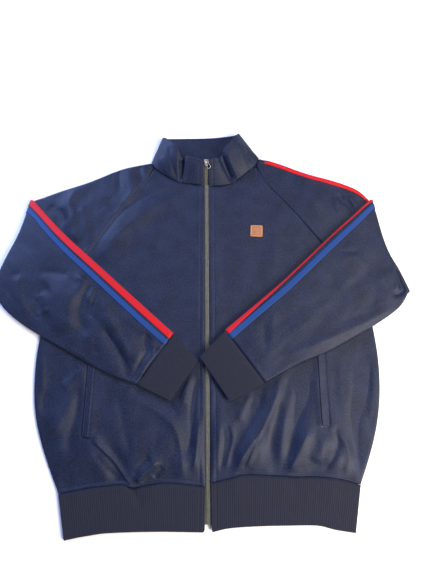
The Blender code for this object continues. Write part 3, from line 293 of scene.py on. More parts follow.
nylon_coil = plain("olive_nylon_coil", "#5a5b50", "#76776a", 0.003, 0.00005, Roughness=0.36, IOR=1.53)
navy_thread = plain("navy_polyester_thread", "#1d2743", "#2a3555", 0.001, 0.00005, Roughness=0.45)
tan_thread = plain("tan_polyester_thread", "#d9a878", "#e8bd92", 0.001, 0.00005, Roughness=0.45)
tan_leather = plain("vegetable_tanned_leather", "#8c5835", "#ab744a", 0.0022, 0.00012, Roughness=0.48)
nickel = plain("nickel_plated_zinc", "#c4c2bc", "#e4e2db", 0.004, 0.00003, Roughness=0.34, Metallic=1.0)

# %% [markdown]
# ## Lines and creases
#
# A crease of laid cloth is a soft ridge or a trough with a beginning, an end and two flanks, one
# often steeper than the other. So each is a short row in a table: the way that it runs, how
# high it rises, how wide it is at each end and how much its left flank is the steeper. A
# function adds them up into one field of heights.

# %% Soft steps and humps


def ease(share):
    """A soft step, from 0 to 1 as the share goes from 0 to 1."""
    share = np.clip(share, 0.0, 1.0)
    return share * share * (3 - 2 * share)


def profile(distance, humps):
    """Adds up humps and grooves, each given by its rise, its place and its half width."""
    return sum(rise * np.exp(-(((distance - place) / half) ** 2)) for rise, place, half in humps)


def unit(ways):
    """The ways, each with length 1."""
    return ways / np.linalg.norm(ways, axis=-1, keepdims=True)


# %% Lines through a few stations


def smooth(stations, steps=8):
    """Points of a smooth line through the stations."""
    knots = np.array(stations, float)
    knots = np.vstack([knots[:1], knots, knots[-1:]])
    points = []
    for a, b, c, d in zip(knots, knots[1:], knots[2:], knots[3:]):
        for t in np.arange(steps) / steps:
            cubic = ((3 * b - 3 * c + d - a) * t + 2 * a - 5 * b + 4 * c - d) * t + c - a
            points.append(b + cubic * t / 2)
    return np.array(points + [knots[-1]])


class Way:
    """A line that is read by its share of length."""

    def __init__(self, points):
        self.points = np.array(points, float)
        steps = np.linalg.norm(np.diff(self.points, axis=0), axis=1)
        self.marks = np.concatenate([[0.0], np.cumsum(steps)])
        self.length = self.marks[-1]

    def at(self, shares):
        reach = np.asarray(shares) * self.length
        return np.stack([np.interp(reach, self.marks, c) for c in self.points.T], axis=-1)

    def near(self, spots):
        """How far each spot lies from the line, at what share of it, and on which side, +1 left."""
        best = np.full(len(spots), np.inf)
        share = np.zeros(len(spots))
        side = np.ones(len(spots))
        for a, b, mark in zip(self.points, self.points[1:], self.marks):
            way = b - a
            long = max(np.linalg.norm(way), 1e-9)
            t = np.clip((spots - a) @ way / long**2, 0, 1)
            off = spots - a - t[:, None] * way
            gap = np.linalg.norm(off, axis=1)
            nearer = gap < best
            best[nearer] = gap[nearer]
            share[nearer] = (mark + t * long)[nearer] / self.length
            side[nearer] = np.sign(way[0] * off[:, 1] - way[1] * off[:, 0])[nearer]
        return best, share, side


# %% Shifted lines and closed rings


def moved(line, room):
    """The line shifted sideways, to its left for a positive room."""
    along = unit(np.gradient(line.points, axis=0))
    return Way(line.points + room * np.stack([-along[:, 1], along[:, 0]], axis=1))


def inside(ring, spots):
    """Which spots lie inside a closed ring of points."""
    within = np.zeros(len(spots), bool)
    for a, b in zip(ring, np.roll(ring, -1, axis=0)):
        crosses = (a[1] > spots[:, 1]) != (b[1] > spots[:, 1])
        x = a[0] + (spots[:, 1] - a[1]) * (b[0] - a[0]) / (b[1] - a[1] if b[1] != a[1] else 1.0)
        within ^= crosses & (spots[:, 0] < x)
    return within


# %% Heights of creases
FADE = 0.2  # the share of its length over which a crease begins, and ends


def crease_rise(spots, creases):
    """Height that the creases add at each spot."""
    rise = np.zeros(len(spots))
    for way, high, start_half, end_half, lean in creases:
        line = Way(smooth(way, 5))
        reach = 3 * max(start_half, end_half)
        low, top = line.points.min(axis=0) - reach, line.points.max(axis=0) + reach
        close = np.all((spots > low) & (spots < top), axis=1)
        if not close.any():
            continue
        gap, share, side = line.near(spots[close])
        half = (start_half + (end_half - start_half) * share) * (1 + lean * side)
        fade = ease(share / FADE + 0.1) * ease((1 - share) / FADE + 0.1)
        rise[close] += high * fade * np.exp(-((gap / half) ** 1.7))
    return rise


# %% [markdown]
# These are the lines that the jacket is sewn and laid along, at the wearer's right and left.
# A pattern cutter would draw the same lines first, because every later step is measured from
# them: where a seam dips, where a tape runs and where a row of stitches goes.

# %% Seams of the body
SIGN = {"right": -1, "left": 1}
SIDES = ("right", "left")
STATIONS = {}
STATIONS["raglan"] = {
    "right": [(-292, 418), (-236, 479), (-185, 555), (-139, 618), (-112, 661)],
    "left": [(288, 418), (218, 499), (178, 551), (139, 599), (102, 640), (92, 667)],
}
STATIONS["neck"] = {
    "right": [(-10.7, 623.4), (-35, 625.6), (-58, 630), (-71, 634), (-93, 647), (-112, 661)],
    "left": [(-2.3, 622.6), (26, 622), (51, 632), (72, 649), (92, 667)],
}
STATIONS["side"] = {
    "right": [(-249, 57.2), (-278, 118), (-297, 168), (-307, 215), (-311, 290), (-308, 345), (-292, 418)],
    "left": [(254, 71.2), (274, 118), (291, 168), (302, 228), (304, 290), (301, 345), (288, 418)],
}

# %% Seams and edges of the sleeves
STATIONS["shoulder"] = {
    "right": [(-119, 673), (-141, 668), (-176, 661), (-209, 645), (-248, 627), (-295, 611), (-348, 588)],
    "left": [(101, 683), (122, 676), (142, 671), (186, 651), (252, 631), (298, 611), (315, 588)],
}
STATIONS["underarm"] = {
    "right": [(-292, 418), (-345, 412), (-399, 404)],
    "left": [(288, 418), (330, 411), (367, 400)],
}
STATIONS["elbow"] = {
    "right": [(-348, 588), (-361, 521), (-377, 479), (-388, 448), (-399, 404)],
    "left": [(315, 588), (321, 543), (326, 513), (335, 476), (343, 462), (354, 436), (367, 400)],
}
STATIONS["forearm_upper"] = {
    "right": [(-348, 588), (-284, 520), (-214, 457), (-137, 388), (-65, 324)],
    "left": [(315, 588), (281, 556), (241, 520), (177, 459), (131, 416), (29, 330)],
}
STATIONS["forearm_lower"] = {
    "right": [(-399, 404), (-383, 376), (-337, 339), (-264, 298), (-215, 271), (-179, 253), (-127, 234)],
    "left": [(367, 400), (352, 374), (300, 339), (253, 313), (203, 287), (160, 271), (98, 237)],
}
CUFF_MOUTH = {"right": [(-19.5, 277), (-68, 206)], "left": [(-17, 283), (37, 205)]}
CREASE_GAP = {"right": 0.35, "left": 1.5}

# %% Hem, zip and pockets
STATIONS["hem_seam"] = {
    "right": [(-5.2, 68), (-65, 74), (-101, 71), (-128, 66.4), (-145, 71), (-192, 67), (-249, 57)],
    "left": [(4.0, 74), (35, 81), (64, 87), (133, 84), (206, 82), (254, 71)],
}
STATIONS["hem_edge"] = {
    "right": [(-5.6, 0), (-75, 1), (-137, 0), (-184, -3), (-234, -12)],
    "left": [(5.6, 0), (34, 6), (82, 9), (130, 10), (178, 10), (206, 4), (240, -1)],
}
BACK_HEM_EDGE = [(-234, -12), (-120, 4), (0, 12), (120, 13), (185, 10), (240, -1)]
BACK_HEM_SEAM = [(-249, 57), (-120, 66), (0, 70), (120, 74), (254, 71)]
ZIP_LEAN = -7.0 / 670.0
ZIP_HALF_GAP = 4.2
WELTS = {"right": (-210.0, 147.0, 317.0), "left": (201.0, 166.0, 336.0)}
WELT_WIDE = 13.0

# %% Lines from their stations
lines = {(name, s): Way(smooth(table[s])) for name, table in STATIONS.items() for s in SIDES}
for s in SIDES:
    lines["cuff_mouth", s] = Way(CUFF_MOUTH[s])
    lines["cuff_seam", s] = Way([lines["forearm_upper", s].points[-1], lines["forearm_lower", s].points[-1]])


def forearm_ring(s):
    """Outline of a folded-over forearm with its cuff."""
    upper, lower = lines["forearm_upper", s].points, lines["forearm_lower", s].points
    mouth = lines["cuff_mouth", s].points
    return np.vstack([upper, mouth, lower[::-1], lines["elbow", s].points[::-1]])


forearm_rings = {s: forearm_ring(s) for s in SIDES}
forearm_ways = {s: lines["cuff_seam", s].at(0.5) - lines["elbow", s].at(0.5) for s in SIDES}
print(len(lines), "seams and edges")

# %% [markdown]
# The tables of creases follow. Each way runs down the garment. A row gives the way, the rise,
# the half width at its start and at its end, and how much steeper the flank towards the
# wearer's right is. A trough has a rise below zero.

# %% Creases of the wearer's left front
BODY_CREASES = [
    ([(128, 245), (119, 219), (106, 186), (87, 154), (64, 126), (49, 99), (41, 83)], 2.4, 7, 5, 0.2),
    ([(93, 223), (84, 186), (66, 154), (46, 119), (35, 92)], -2.2, 11, 6, 0.0),
    ([(91, 152), (82, 137), (73, 119), (63, 97)], 1.8, 4, 4, 0.3),
    ([(78, 134), (66, 116), (56, 96)], -1.1, 3.5, 3.5, 0.0),
    ([(145, 253), (124, 208), (112, 172), (105, 137), (108, 106)], -2.1, 10, 9, 0.0),
    ([(150, 238), (139, 197), (125, 154), (120, 112)], 1.7, 10, 8, 0.2),
    ([(178, 264), (167, 219), (153, 172), (144, 140), (132, 99)], -2.6, 12, 7, 0.0),
    ([(174, 160), (157, 137), (144, 112), (135, 90)], 2.2, 6, 5, 0.2),
    ([(208, 151), (190, 130), (177, 106)], 2.0, 16, 13, 0.0),
    ([(216, 167), (220, 137), (209, 112), (193, 92)], -2.1, 6, 6, 0.0),
    ([(217, 158), (234, 133), (237, 112), (227, 87)], 1.7, 6, 6, 0.0),
    ([(284, 293), (270, 238), (255, 190), (251, 147), (253, 112), (256, 82)], -2.6, 12, 9, 0.0),
    ([(293, 272), (287, 219), (278, 172)], 1.1, 6, 6, 0.0),
    ([(35, 172), (41, 147), (35, 119), (28, 95)], 1.7, 4.5, 4, 0.3),
    ([(24, 168), (26, 140), (23, 112), (20, 90)], -1.7, 4.5, 4.5, 0.0),
    ([(75, 221), (62, 197), (50, 172)], 2.0, 8, 7, 0.2),
]

# %% Creases of the wearer's right front
BODY_CREASES += [
    ([(-235, 219), (-248, 190), (-259, 168), (-268, 147)], 3.4, 10, 11, 0.2),
    ([(-236, 273), (-254, 257), (-270, 237), (-282, 213), (-288, 180)], -3.2, 10, 8, 0.0),
    ([(-222, 262), (-240, 245), (-256, 224)], 2.8, 9, 9, 0.0),
    ([(-298, 284), (-295, 257), (-293, 222)], 2.0, 6, 6, 0.0),
    ([(-229, 238), (-230, 183), (-238, 147), (-236, 112)], -2.8, 7, 10, 0.0),
    ([(-188, 151), (-193, 133)], 1.6, 6, 6, 0.0),
    ([(-197, 147), (-183, 131), (-160, 109), (-142, 87), (-127, 69)], 3.8, 5, 4.5, 0.5),
    ([(-196, 126), (-172, 99), (-145, 75)], -3.2, 9, 7, 0.0),
    ([(-84, 110), (-99, 97), (-113, 83), (-120, 73)], 4.4, 6, 5, -0.2),
    ([(-96, 114), (-112, 103), (-127, 85)], -2.2, 6, 6, 0.0),
    ([(-77, 100), (-91, 82)], -2.2, 6, 5, 0.0),
    ([(-145, 208), (-114, 201), (-84, 186), (-60, 165), (-49, 137), (-44, 106), (-44, 82)], 2.6, 8, 6, 0.0),
    ([(-138, 227), (-100, 214), (-69, 197), (-46, 183)], -2.6, 7, 6, 0.0),
    ([(-163, 219), (-151, 183), (-142, 147), (-129, 119)], -1.6, 8, 8, 0.0),
    ([(-18, 249), (-27, 212), (-29, 176), (-31, 140), (-38, 112)], -3.4, 5, 5, 0.0),
    ([(-34, 253), (-42, 219), (-46, 197)], 2.8, 6, 6, 0.2),
    ([(-14, 183), (-19, 147), (-22, 112), (-29, 92)], 2.4, 4.5, 5, 0.3),
    ([(-9, 354), (-14, 304)], 1.6, 5, 5, 0.0),
    ([(-76, 594), (-112, 573), (-146, 544), (-170, 516), (-193, 487), (-214, 462)], 3.0, 16, 13, 0.1),
    ([(-90, 616), (-118, 604), (-140, 590), (-162, 574), (-181, 553), (-199, 524), (-219, 495)],
     -1.8, 6, 5, 0.0),
    ([(-140, 532), (-160, 518), (-179, 500), (-198, 480)], -1.4, 9, 9, 0.0),
]

# %% Creases of the upper sleeves
BODY_CREASES += [
    ([(-262, 620), (-270, 600), (-275, 582), (-268, 557), (-261, 526), (-252, 496)], 4.6, 11, 10, -0.05),
    ([(-294, 575), (-292, 541), (-282, 515), (-268, 496)], -3.6, 9, 6, 0.0),
    ([(-318, 578), (-296, 560), (-280, 540)], -3.4, 9, 8, 0.0),
    ([(-252, 580), (-242, 547), (-233, 526), (-226, 496)], 3.4, 7, 6, -0.2),
    ([(-160, 667), (-158, 632), (-152, 612), (-160, 590), (-169, 568)], 4.4, 12, 10, -0.1),
    ([(-183, 658), (-181, 632), (-177, 604)], -2.2, 4, 4, 0.0),
    ([(-144, 668), (-142, 649), (-131, 635)], -2.2, 5, 4, 0.0),
    ([(-131, 665), (-130, 649), (-127, 637)], 1.6, 4, 4, 0.0),
    ([(-202, 594), (-192, 578), (-183, 566)], -2.4, 5, 5, 0.0),
    ([(-212, 572), (-199, 560), (-191, 546)], 1.8, 5, 5, 0.0),
    ([(258, 606), (261, 590), (271, 584), (277, 574), (285, 560)], -4.2, 4.5, 3.5, 0.0),
    ([(249, 595), (249, 574), (257, 560)], 1.8, 4, 4, 0.0),
    ([(276, 600), (283, 584), (292, 576)], 2.2, 5, 5, 0.0),
    ([(199, 601), (211, 564), (224, 537)], 1.2, 12, 12, 0.0),
    ([(122, 653), (105, 637)], -1.2, 4, 4, 0.0),
]

# %% Creases of the folded forearms
FOREARM_CREASES = {
    "right": [
        ([(-241, 446), (-233, 427), (-234, 412), (-244, 398), (-253, 384), (-256, 368), (-252, 348),
          (-248, 324)], 5.6, 15, 19, -0.15),
        ([(-222, 422), (-227, 401), (-234, 380), (-236, 359), (-230, 338), (-216, 316)], -3.0, 8, 10, 0.0),
        ([(-211, 412), (-216, 393), (-222, 379)], 2.4, 3.5, 3.5, 0.0),
        ([(-207, 393), (-214, 371), (-217, 350)], -2.4, 4.5, 5, 0.0),
        ([(-192, 385), (-184, 360), (-173, 341), (-162, 324), (-150, 303), (-140, 277)], 3.0, 11, 8, -0.2),
        ([(-192, 335), (-177, 314), (-160, 290), (-148, 266), (-139, 238)], -4.6, 6, 4.5, 0.0),
        ([(-106, 336), (-113, 310), (-111, 293), (-122, 272), (-132, 251), (-137, 238)], -4.4, 5, 3.5, 0.0),
        ([(-91, 323), (-99, 308), (-101, 295), (-101, 283), (-113, 263), (-125, 241)], 2.4, 4, 3.5, 0.0),
        ([(-104, 299), (-94, 301), (-82, 299)], 1.6, 2.5, 2.5, 0.0),
        ([(-202, 318), (-203, 300), (-202, 285)], -2.0, 6, 5, 0.0),
        ([(-353, 436), (-351, 406), (-343, 384), (-328, 360)], 4.0, 10, 10, -0.25),
        ([(-296, 416), (-312, 395), (-312, 370), (-300, 350)], -3.2, 13, 11, 0.0),
        ([(-320, 388), (-303, 397)], 1.4, 5, 5, 0.0),
        ([(-313, 355), (-302, 363), (-289, 367)], 1.8, 6, 5, 0.0),
        ([(-258, 300), (-235, 288), (-212, 273)], 1.4, 7, 6, 0.0),
        ([(-320, 440), (-287, 438), (-262, 432)], -1.8, 8, 7, 0.0),
    ],
    "left": [
        ([(349, 455), (351, 430), (354, 416), (358, 405), (350, 398), (335, 393)], -4.8, 4, 4, 0.0),
        ([(348, 471), (345, 439), (346, 413), (344, 399)], 2.6, 4, 4, 0.0),
        ([(358, 441), (364, 414), (364, 397), (350, 382)], 1.8, 4, 5, 0.0),
        ([(240, 481), (259, 478), (279, 478)], -1.4, 5, 5, 0.0),
        ([(242, 459), (265, 468), (280, 462), (293, 446)], 1.2, 7, 7, 0.0),
        ([(279, 443), (294, 428), (305, 400), (293, 364)], -1.5, 8, 8, 0.0),
        ([(232, 438), (228, 414), (249, 386)], -1.2, 9, 9, 0.0),
        ([(314, 443), (328, 395), (302, 362)], 1.5, 9, 9, 0.0),
        ([(339, 374), (301, 353), (263, 335), (189, 304), (126, 281)], 1.6, 7, 7, 0.0),
        ([(326, 381), (283, 360), (237, 344)], -1.2, 7, 7, 0.0),
        ([(272, 443), (241, 405), (202, 367), (159, 326)], 1.2, 12, 12, 0.0),
        ([(118, 365), (111, 310)], 1.0, 7, 7, 0.0),
        ([(98, 345), (101, 290)], -1.0, 6, 6, 0.0),
    ],
}

# %% [markdown]
# Between its creases laid cloth is never quite flat. A noise that is drawn out along the wales
# gives the broad, low swells that light shows up on a smooth knit.

# %% Swells between the creases


def swell(spots, way, across, along, seed):
    """A gentle rise and fall, from -1 to 1, with its long direction along the way."""
    way = unit(np.array(way, float))
    u, v = spots @ (way[1], -way[0]) / across, spots @ way / along
    return np.array([noise.noise(Vector((a, b, seed))) for a, b in zip(u, v)])


def swells(spots, way, high, seed):
    """Broad swells and finer ones on top of them."""
    return high * (swell(spots, way, 30, 80, seed) * 1.6 + swell(spots, way, 12, 34, seed + 5) * 0.45)


# %% [markdown]
# ## Cloth panels
#
# A panel of the solids is a wall with flat facets. A copy of it gets its doubled points merged
# and its triangles paired back into four-sided faces, so that a Subdivision Surface can round
# it. Its cut edges are creased, because a cut edge of cloth stays crisp. Then its points are
# moved by the field of creases.

# %% Editing by hand


def mode(kind):
    bpy.ops.object.mode_set(mode=kind)


def pick(piece):
    """Makes one piece the selected and active one."""
    bpy.ops.object.select_all(action="DESELECT")
    piece.select_set(True)
    bpy.context.view_layer.objects.active = piece


def edit(piece):
    """Opens one piece for editing, with all of it selected."""
    pick(piece)
    mode("EDIT")
    bpy.ops.mesh.select_mode(type="EDGE")
    bpy.ops.mesh.select_all(action="SELECT")


def finish_with(piece, kind, **settings):
    """Adds a modifier and applies it."""
    pick(piece)
    modifier = piece.modifiers.new(kind.lower(), kind)
    for name, value in settings.items():
        setattr(modifier, name, value)
    bpy.ops.object.modifier_apply(modifier=modifier.name)


# %% A smooth copy of a solid
SHARP = math.radians(66)  # a cut edge of cloth turns by more than this


def piece_of(name, mesh):
    piece = bpy.data.objects.new(name, mesh)
    bpy.context.scene.collection.objects.link(piece)
    return piece


def piece_from(form, name):
    """Makes a piece of a form that was built in mesh code."""
    mesh = bpy.data.meshes.new(name)
    form.to_mesh(mesh)
    form.free()
    return piece_of(name, mesh)


def smooth_copy(node, levels=2):
    form = bmesh.new()
    form.from_mesh(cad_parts[node].data)
    piece = piece_from(form, node + "_cloth")
    for layer in [a for a in piece.data.attributes if a.name == "custom_normal"]:
        piece.data.attributes.remove(layer)
    edit(piece)
    bpy.ops.mesh.remove_doubles(threshold=1e-6)
    bpy.ops.mesh.tris_convert_to_quads(face_threshold=math.radians(60), shape_threshold=math.radians(100))
    bpy.ops.mesh.select_all(action="DESELECT")
    bpy.ops.mesh.edges_select_sharp(sharpness=SHARP)
    bpy.ops.transform.edge_crease(value=1.0)
    mode("OBJECT")
    finish_with(piece, "SUBSURF", levels=levels, render_levels=levels)
    piece.data.shade_smooth()
    piece.data.materials.clear()
    return piece


# %% Finer faces where creases show
FINE_ABOVE = 0.0025  # metres above the table, where the faces that show begin


def finer(piece):
    """Cuts the faces that show in four, so that they can carry fine creases."""
    edit(piece)
    bpy.ops.mesh.select_mode(type="FACE")
    bpy.ops.mesh.select_all(action="DESELECT")
    mode("OBJECT")
    chosen = [face.normal.z > 0.05 and face.center.z > FINE_ABOVE for face in piece.data.polygons]
    piece.data.polygons.foreach_set("select", chosen)
    mode("EDIT")
    bpy.ops.mesh.subdivide(number_cuts=1)
    mode("OBJECT")
    piece.data.shade_smooth()
    return piece


# %% Points and normals


def points_of(piece):
    """The piece's points in garment millimetres."""
    flat = np.empty(len(piece.data.vertices) * 3, np.float32)
    piece.data.vertices.foreach_get("co", flat)
    return in_mm(flat.reshape(-1, 3))


def set_points(piece, points):
    piece.data.vertices.foreach_set("co", in_frame(points).astype(np.float32).ravel())
    piece.data.update()


def normals_of(piece):
    flat = np.empty(len(piece.data.vertices) * 3, np.float32)
    piece.data.vertex_normals.foreach_get("vector", flat)
    return flat.reshape(-1, 3)


# %% Knit map and finish


def map_knit(piece, metres):
    """Gives the piece its knit map, from where each point lies on the flat cloth."""
    layer = piece.data.uv_layers.new(name="knit")
    corners = np.empty(len(piece.data.loops), np.int32)
    piece.data.loops.foreach_get("vertex_index", corners)
    layer.data.foreach_set("uv", metres[corners].astype(np.float32).ravel())


def map_flat(piece):
    """Gives a piece the knit map of cloth that lies as it is, with its wales up the garment."""
    map_knit(piece, points_of(piece)[:, :2] * MM)


def dress(piece, material, slot, *nodes, body="jacket"):
    """Gives a piece its finish, and says what it stands for and rides on."""
    piece.data.materials.append(material)
    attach(piece, body)
    if nodes:
        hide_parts(*nodes)
    print(piece.name, "has", len(piece.data.polygons), "faces of", material.name)
    return piece


# %% [markdown]
# The layers lie on each other, so each has a lowest height that its creases can't press it
# under. A forearm hides what it lies on, and the cloth beside it comes up to meet its edge
# without rising into it.

# %% Levels of the layers
EDGE_TOP = 6.0  # top of the flat edge of a front or a sleeve
LEAST_TOP = 3.4  # the lowest that a crease may press the top of a panel
WALL = 1.5
FOREARM_LOW = {s: EDGE_TOP + 2 * CREASE_GAP[s] for s in SIDES}


def turned_about(spots, way):
    """Places on the cloth, in metres, with wales along the given way."""
    way = unit(np.array(way, float))
    return np.stack([spots @ (way[1], -way[0]), spots @ way], axis=1) * MM


def cover(spots):
    """1 under a folded-over forearm or cuff, falling to 0 a little way outside it."""
    most = np.zeros(len(spots))
    for ring in forearm_rings.values():
        gap = Way(np.vstack([ring, ring[:1]])).near(spots)[0]
        most = np.maximum(most, np.where(inside(ring, spots), 1.0, ease(1 - (gap - 2) / 8)))
    return most


def edge_distance(spots):
    edges = [lines[name, s] for name in ("side", "shoulder", "underarm") for s in SIDES]
    return np.min([edge.near(spots)[0] for edge in edges], axis=0)


# %% [markdown]
# A seam pulls the cloth down along its line and puffs it up a little beside it, where the seam
# allowance lies underneath. A row of topstitching presses a second, shallower groove.

# %% Seams pressed into the cloth
SEAM_PROFILES = {
    "raglan": [(0.3, 3.6, 2.4), (-0.9, 0.0, 0.9)],
    "neck": [(0.3, 3.5, 2.5), (-0.8, 0.0, 0.9)],
    "hem_seam": [(0.7, 2.4, 1.9), (-0.6, 6.0, 1.2), (-0.8, 0.0, 0.8)],
}
ZIP_STITCH, HEM_STITCH = 9.5, 6.4  # rows of topstitching, from the zip's edge and the hem's seam
ZIP_EDGE_PROFILE = [(0.5, 4.0, 3.0), (-0.5, ZIP_STITCH, 1.4), (-0.5, 0.0, 1.2)]
CUFF_SEAM_PROFILE = [(0.5, 3.5, 2.5), (-1.0, 0.0, 1.4)]


def seam_dip(spots):
    """How far the cloth dips into its seams, and swells beside them."""
    ways = [(lines[name, s], humps) for name, humps in SEAM_PROFILES.items() for s in SIDES]
    return sum(profile(line.near(spots)[0], humps) for line, humps in ways)


def from_zip(spots):
    return np.abs(spots[:, 0] - ZIP_LEAN * spots[:, 1]) - ZIP_HALF_GAP


# %% Pocket openings
POCKET_PROFILE = [(-1.6, 0.9, 1.1), (1.5, -WELT_WIDE, 8.5)]
POCKET_FOOT_PROFILE = [(-1.2, -2.2, 1.3)]


def welt_ditch(spots):
    """The pocket's opening beside a welt's outer edge, and the cloth drawn in at its foot."""
    dip = np.zeros(len(spots))
    for s in SIDES:
        x, foot, head = WELTS[s]
        aside, up = spots[:, 0] - x, spots[:, 1]
        beside = ease((up - foot + 2) / 3) * ease((head + 2 - up) / 3)
        under = ease((WELT_WIDE + 1 - np.abs(aside) * 2) / 3)
        dip += profile(aside * SIGN[s] - WELT_WIDE / 2, POCKET_PROFILE) * beside
        dip += profile(up - foot, POCKET_FOOT_PROFILE) * under
    return dip


# %% Creases, swells and seams together
TAPES_REACH = 27.0  # the tapes keep this much of a forearm flat, from its upper fold


def body_rise(spots):
    """What the creases and seams add to the fronts and the upper sleeves."""
    away = from_zip(spots)
    # The cloth lies calmer on the chest than below it, and flat at its edges and its zip.
    calm = 0.55 + 0.45 * ease((300 - spots[:, 1]) / 60)
    folds = crease_rise(spots, BODY_CREASES) + swells(spots, (0.1, 1), 1.0, 2.0) * calm
    folds = np.where(folds > 0, folds * (1 - cover(spots)), folds)
    folds *= ease((edge_distance(spots) + 2) / 12) * ease((away + 3) / 10)
    return folds + profile(away, ZIP_EDGE_PROFILE) + seam_dip(spots) + welt_ditch(spots)


def forearm_rise(spots, s):
    """What the creases and the cuff's seam add to a forearm."""
    upper = lines["forearm_upper", s].near(spots)[0]
    lower = lines["forearm_lower", s].near(spots)[0]
    seam = lines["cuff_seam", s].near(spots)[0]
    folds = crease_rise(spots, FOREARM_CREASES[s]) + swells(spots, forearm_ways[s], 0.9, 9.0)
    under_tapes = 0.06 + 0.94 * ease((upper - TAPES_REACH) / 12)
    folds *= ease((np.minimum(upper, lower) + 1) / 10) * under_tapes
    return folds + profile(seam, CUFF_SEAM_PROFILE)


def raise_panel(piece):
    """Moves the points of a front by the creases, without pressing it into the back."""
    points = points_of(piece)
    least = np.where(normals_of(piece)[:, 2] > 0, LEAST_TOP, LEAST_TOP - WALL)
    rise = body_rise(points[:, :2])
    points[:, 2] = np.maximum(points[:, 2] + rise, np.minimum(points[:, 2], least))
    set_points(piece, points)


# %% Fronts
cloth = {}
for s in SIDES:
    front = finer(smooth_copy(f"front_{s}"))
    raise_panel(front)
    map_flat(front)
    cloth["front", s] = dress(front, navy_tricot, "navy_tricot", f"front_{s}")

# %% Back
back = smooth_copy("back_panel")
map_flat(back)
cloth["back"] = dress(back, navy_tricot, "navy_tricot", "back_panel")

# %% [markdown]
# A sleeve is one flattened tube, folded over at the elbow. Its upper part takes the body's
# creases on its upper face. Its forearm lies on top, so it has creases of its own.

# %% Creasing a sleeve


def shape_sleeve(piece, s):
    """Creases a sleeve, or a tape on it, and maps its knit."""
    points = points_of(piece)
    spots = points[:, :2]
    low = FOREARM_LOW[s]
    # Height tells the folded forearm from the upper sleeve that it lies on.
    on_forearm = inside(forearm_rings[s], spots) & (points[:, 2] > low - 0.4)
    top_share = ease((points[:, 2] - low - 2) / 2)
    rise = np.where(on_forearm, forearm_rise(spots, s) * top_share, 0.0)
    bare = 9 * (1 - cover(spots))
    upper_share = ease((points[:, 2] - 1.6) / 1.4) * ease((low + 2 - points[:, 2]) / 2 + bare)
    rise += np.where(on_forearm, 0.0, body_rise(spots) * upper_share)
    outer = np.where(normals_of(piece)[:, 2] > 0, 0.0, WALL)
    least = np.where(on_forearm, low + LEAST_TOP, LEAST_TOP) - outer
    points[:, 2] = np.maximum(points[:, 2] + rise, np.minimum(points[:, 2], least))
    set_points(piece, points)
    upper_way = lines["elbow", s].at(0.5) - lines["shoulder", s].at(0)
    knits = [turned_about(spots, way) for way in (forearm_ways[s], upper_way)]
    map_knit(piece, np.where(on_forearm[:, None], *knits))


# %% Sleeves
for s in SIDES:
    sleeve = finer(smooth_copy(f"sleeve_{s}"))
    shape_sleeve(sleeve, s)
    cloth["sleeve", s] = dress(sleeve, navy_tricot, "navy_tricot", f"sleeve_{s}")

# %% [markdown]
# The collar stands, then folds over at both sides and comes forward to the zip. Its solid has
# that form, so only its smaller dents and the stitched line under its top edge are added here.
# The points move along their normals, because the collar's faces lean.

# %% Creases and top edge of the collar
COLLAR_CREASES = [
    ([(-53, 674), (-58, 656), (-58, 623)], -3.0, 2.4, 3, 0.0),
    ([(-44, 676), (-48, 656), (-54, 627)], 1.8, 4, 3, 0.0),
    ([(-78, 706), (-66, 689), (-64, 671), (-65, 649)], 1.8, 4, 4, 0.0),
    ([(-82, 701), (-79, 678), (-72, 652), (-64, 634)], -2.2, 4.5, 4, 0.0),
    ([(-99, 682), (-91, 660), (-77, 638)], 1.5, 6, 5, 0.0),
    ([(20, 684), (27, 671), (37, 649), (48, 625)], -3.4, 5, 4, 0.0),
    ([(32, 689), (40, 667), (53, 645), (61, 630)], 2.6, 6, 5, 0.0),
    ([(58, 712), (60, 689), (70, 667), (78, 652)], 1.2, 6, 6, 0.0),
    ([(74, 704), (80, 682), (87, 671)], -1.4, 6, 5, 0.0),
]
COLLAR_TOP = {
    "right": [(-12.4, 667.5, 29), (-32, 671, 29), (-45, 677, 27), (-54, 675, 19), (-61, 686, 29),
              (-71, 701, 31), (-83, 715, 24), (-93, 726, 14)],
    "left": [(-2.8, 667.5, 29), (8, 670, 29), (15, 672, 28), (22, 674, 21), (27, 688, 29),
             (36, 701, 32), (47, 715, 29), (55, 729, 21)],
    "back": [(-90, 730, 0), (-44, 730.5, 0), (-12, 731, 0), (18, 733, 0), (52, 738, 1.5)],
}
COLLAR_STITCH = 6.5
COLLAR_EDGE_PROFILE = [(-0.35, COLLAR_STITCH, 1.1), (0.25, COLLAR_STITCH / 2, 2.2)]
COLLAR_ZIP_PROFILE = [(-0.4, ZIP_STITCH, 1.3)]
collar_top = [Way(smooth(stations, 4)) for stations in COLLAR_TOP.values()]

# %% Collar


def shape_collar(piece):
    points = points_of(piece)
    normals = normals_of(piece)
    standing = ease((points[:, 2] - 3.5) / 4)
    # Both walls move the same way, so the collar keeps its thickness.
    out = np.sign(normals[:, 2] + 0.15)
    below = np.min([line.near(points)[0] for line in collar_top], axis=0)
    rise = crease_rise(points[:, :2], COLLAR_CREASES) + profile(from_zip(points[:, :2]), COLLAR_ZIP_PROFILE)
    rise = rise * standing + profile(below, COLLAR_EDGE_PROFILE)
    points += normals * (rise * out)[:, None]
    points[:, 2] = np.maximum(points[:, 2], 0.0)
    set_points(piece, points)


collar = smooth_copy("collar", 3)
shape_collar(collar)
map_flat(collar)
cloth["collar"] = dress(collar, navy_tricot, "navy_tricot", "collar")

# %% [markdown]
# The tapes are sewn along the sleeves from the neck to the cuffs, so they take the sleeve's
# creases. A tape's ribs run across it, so its knit map follows its own length.

# %% A tape's edge at the shoulder


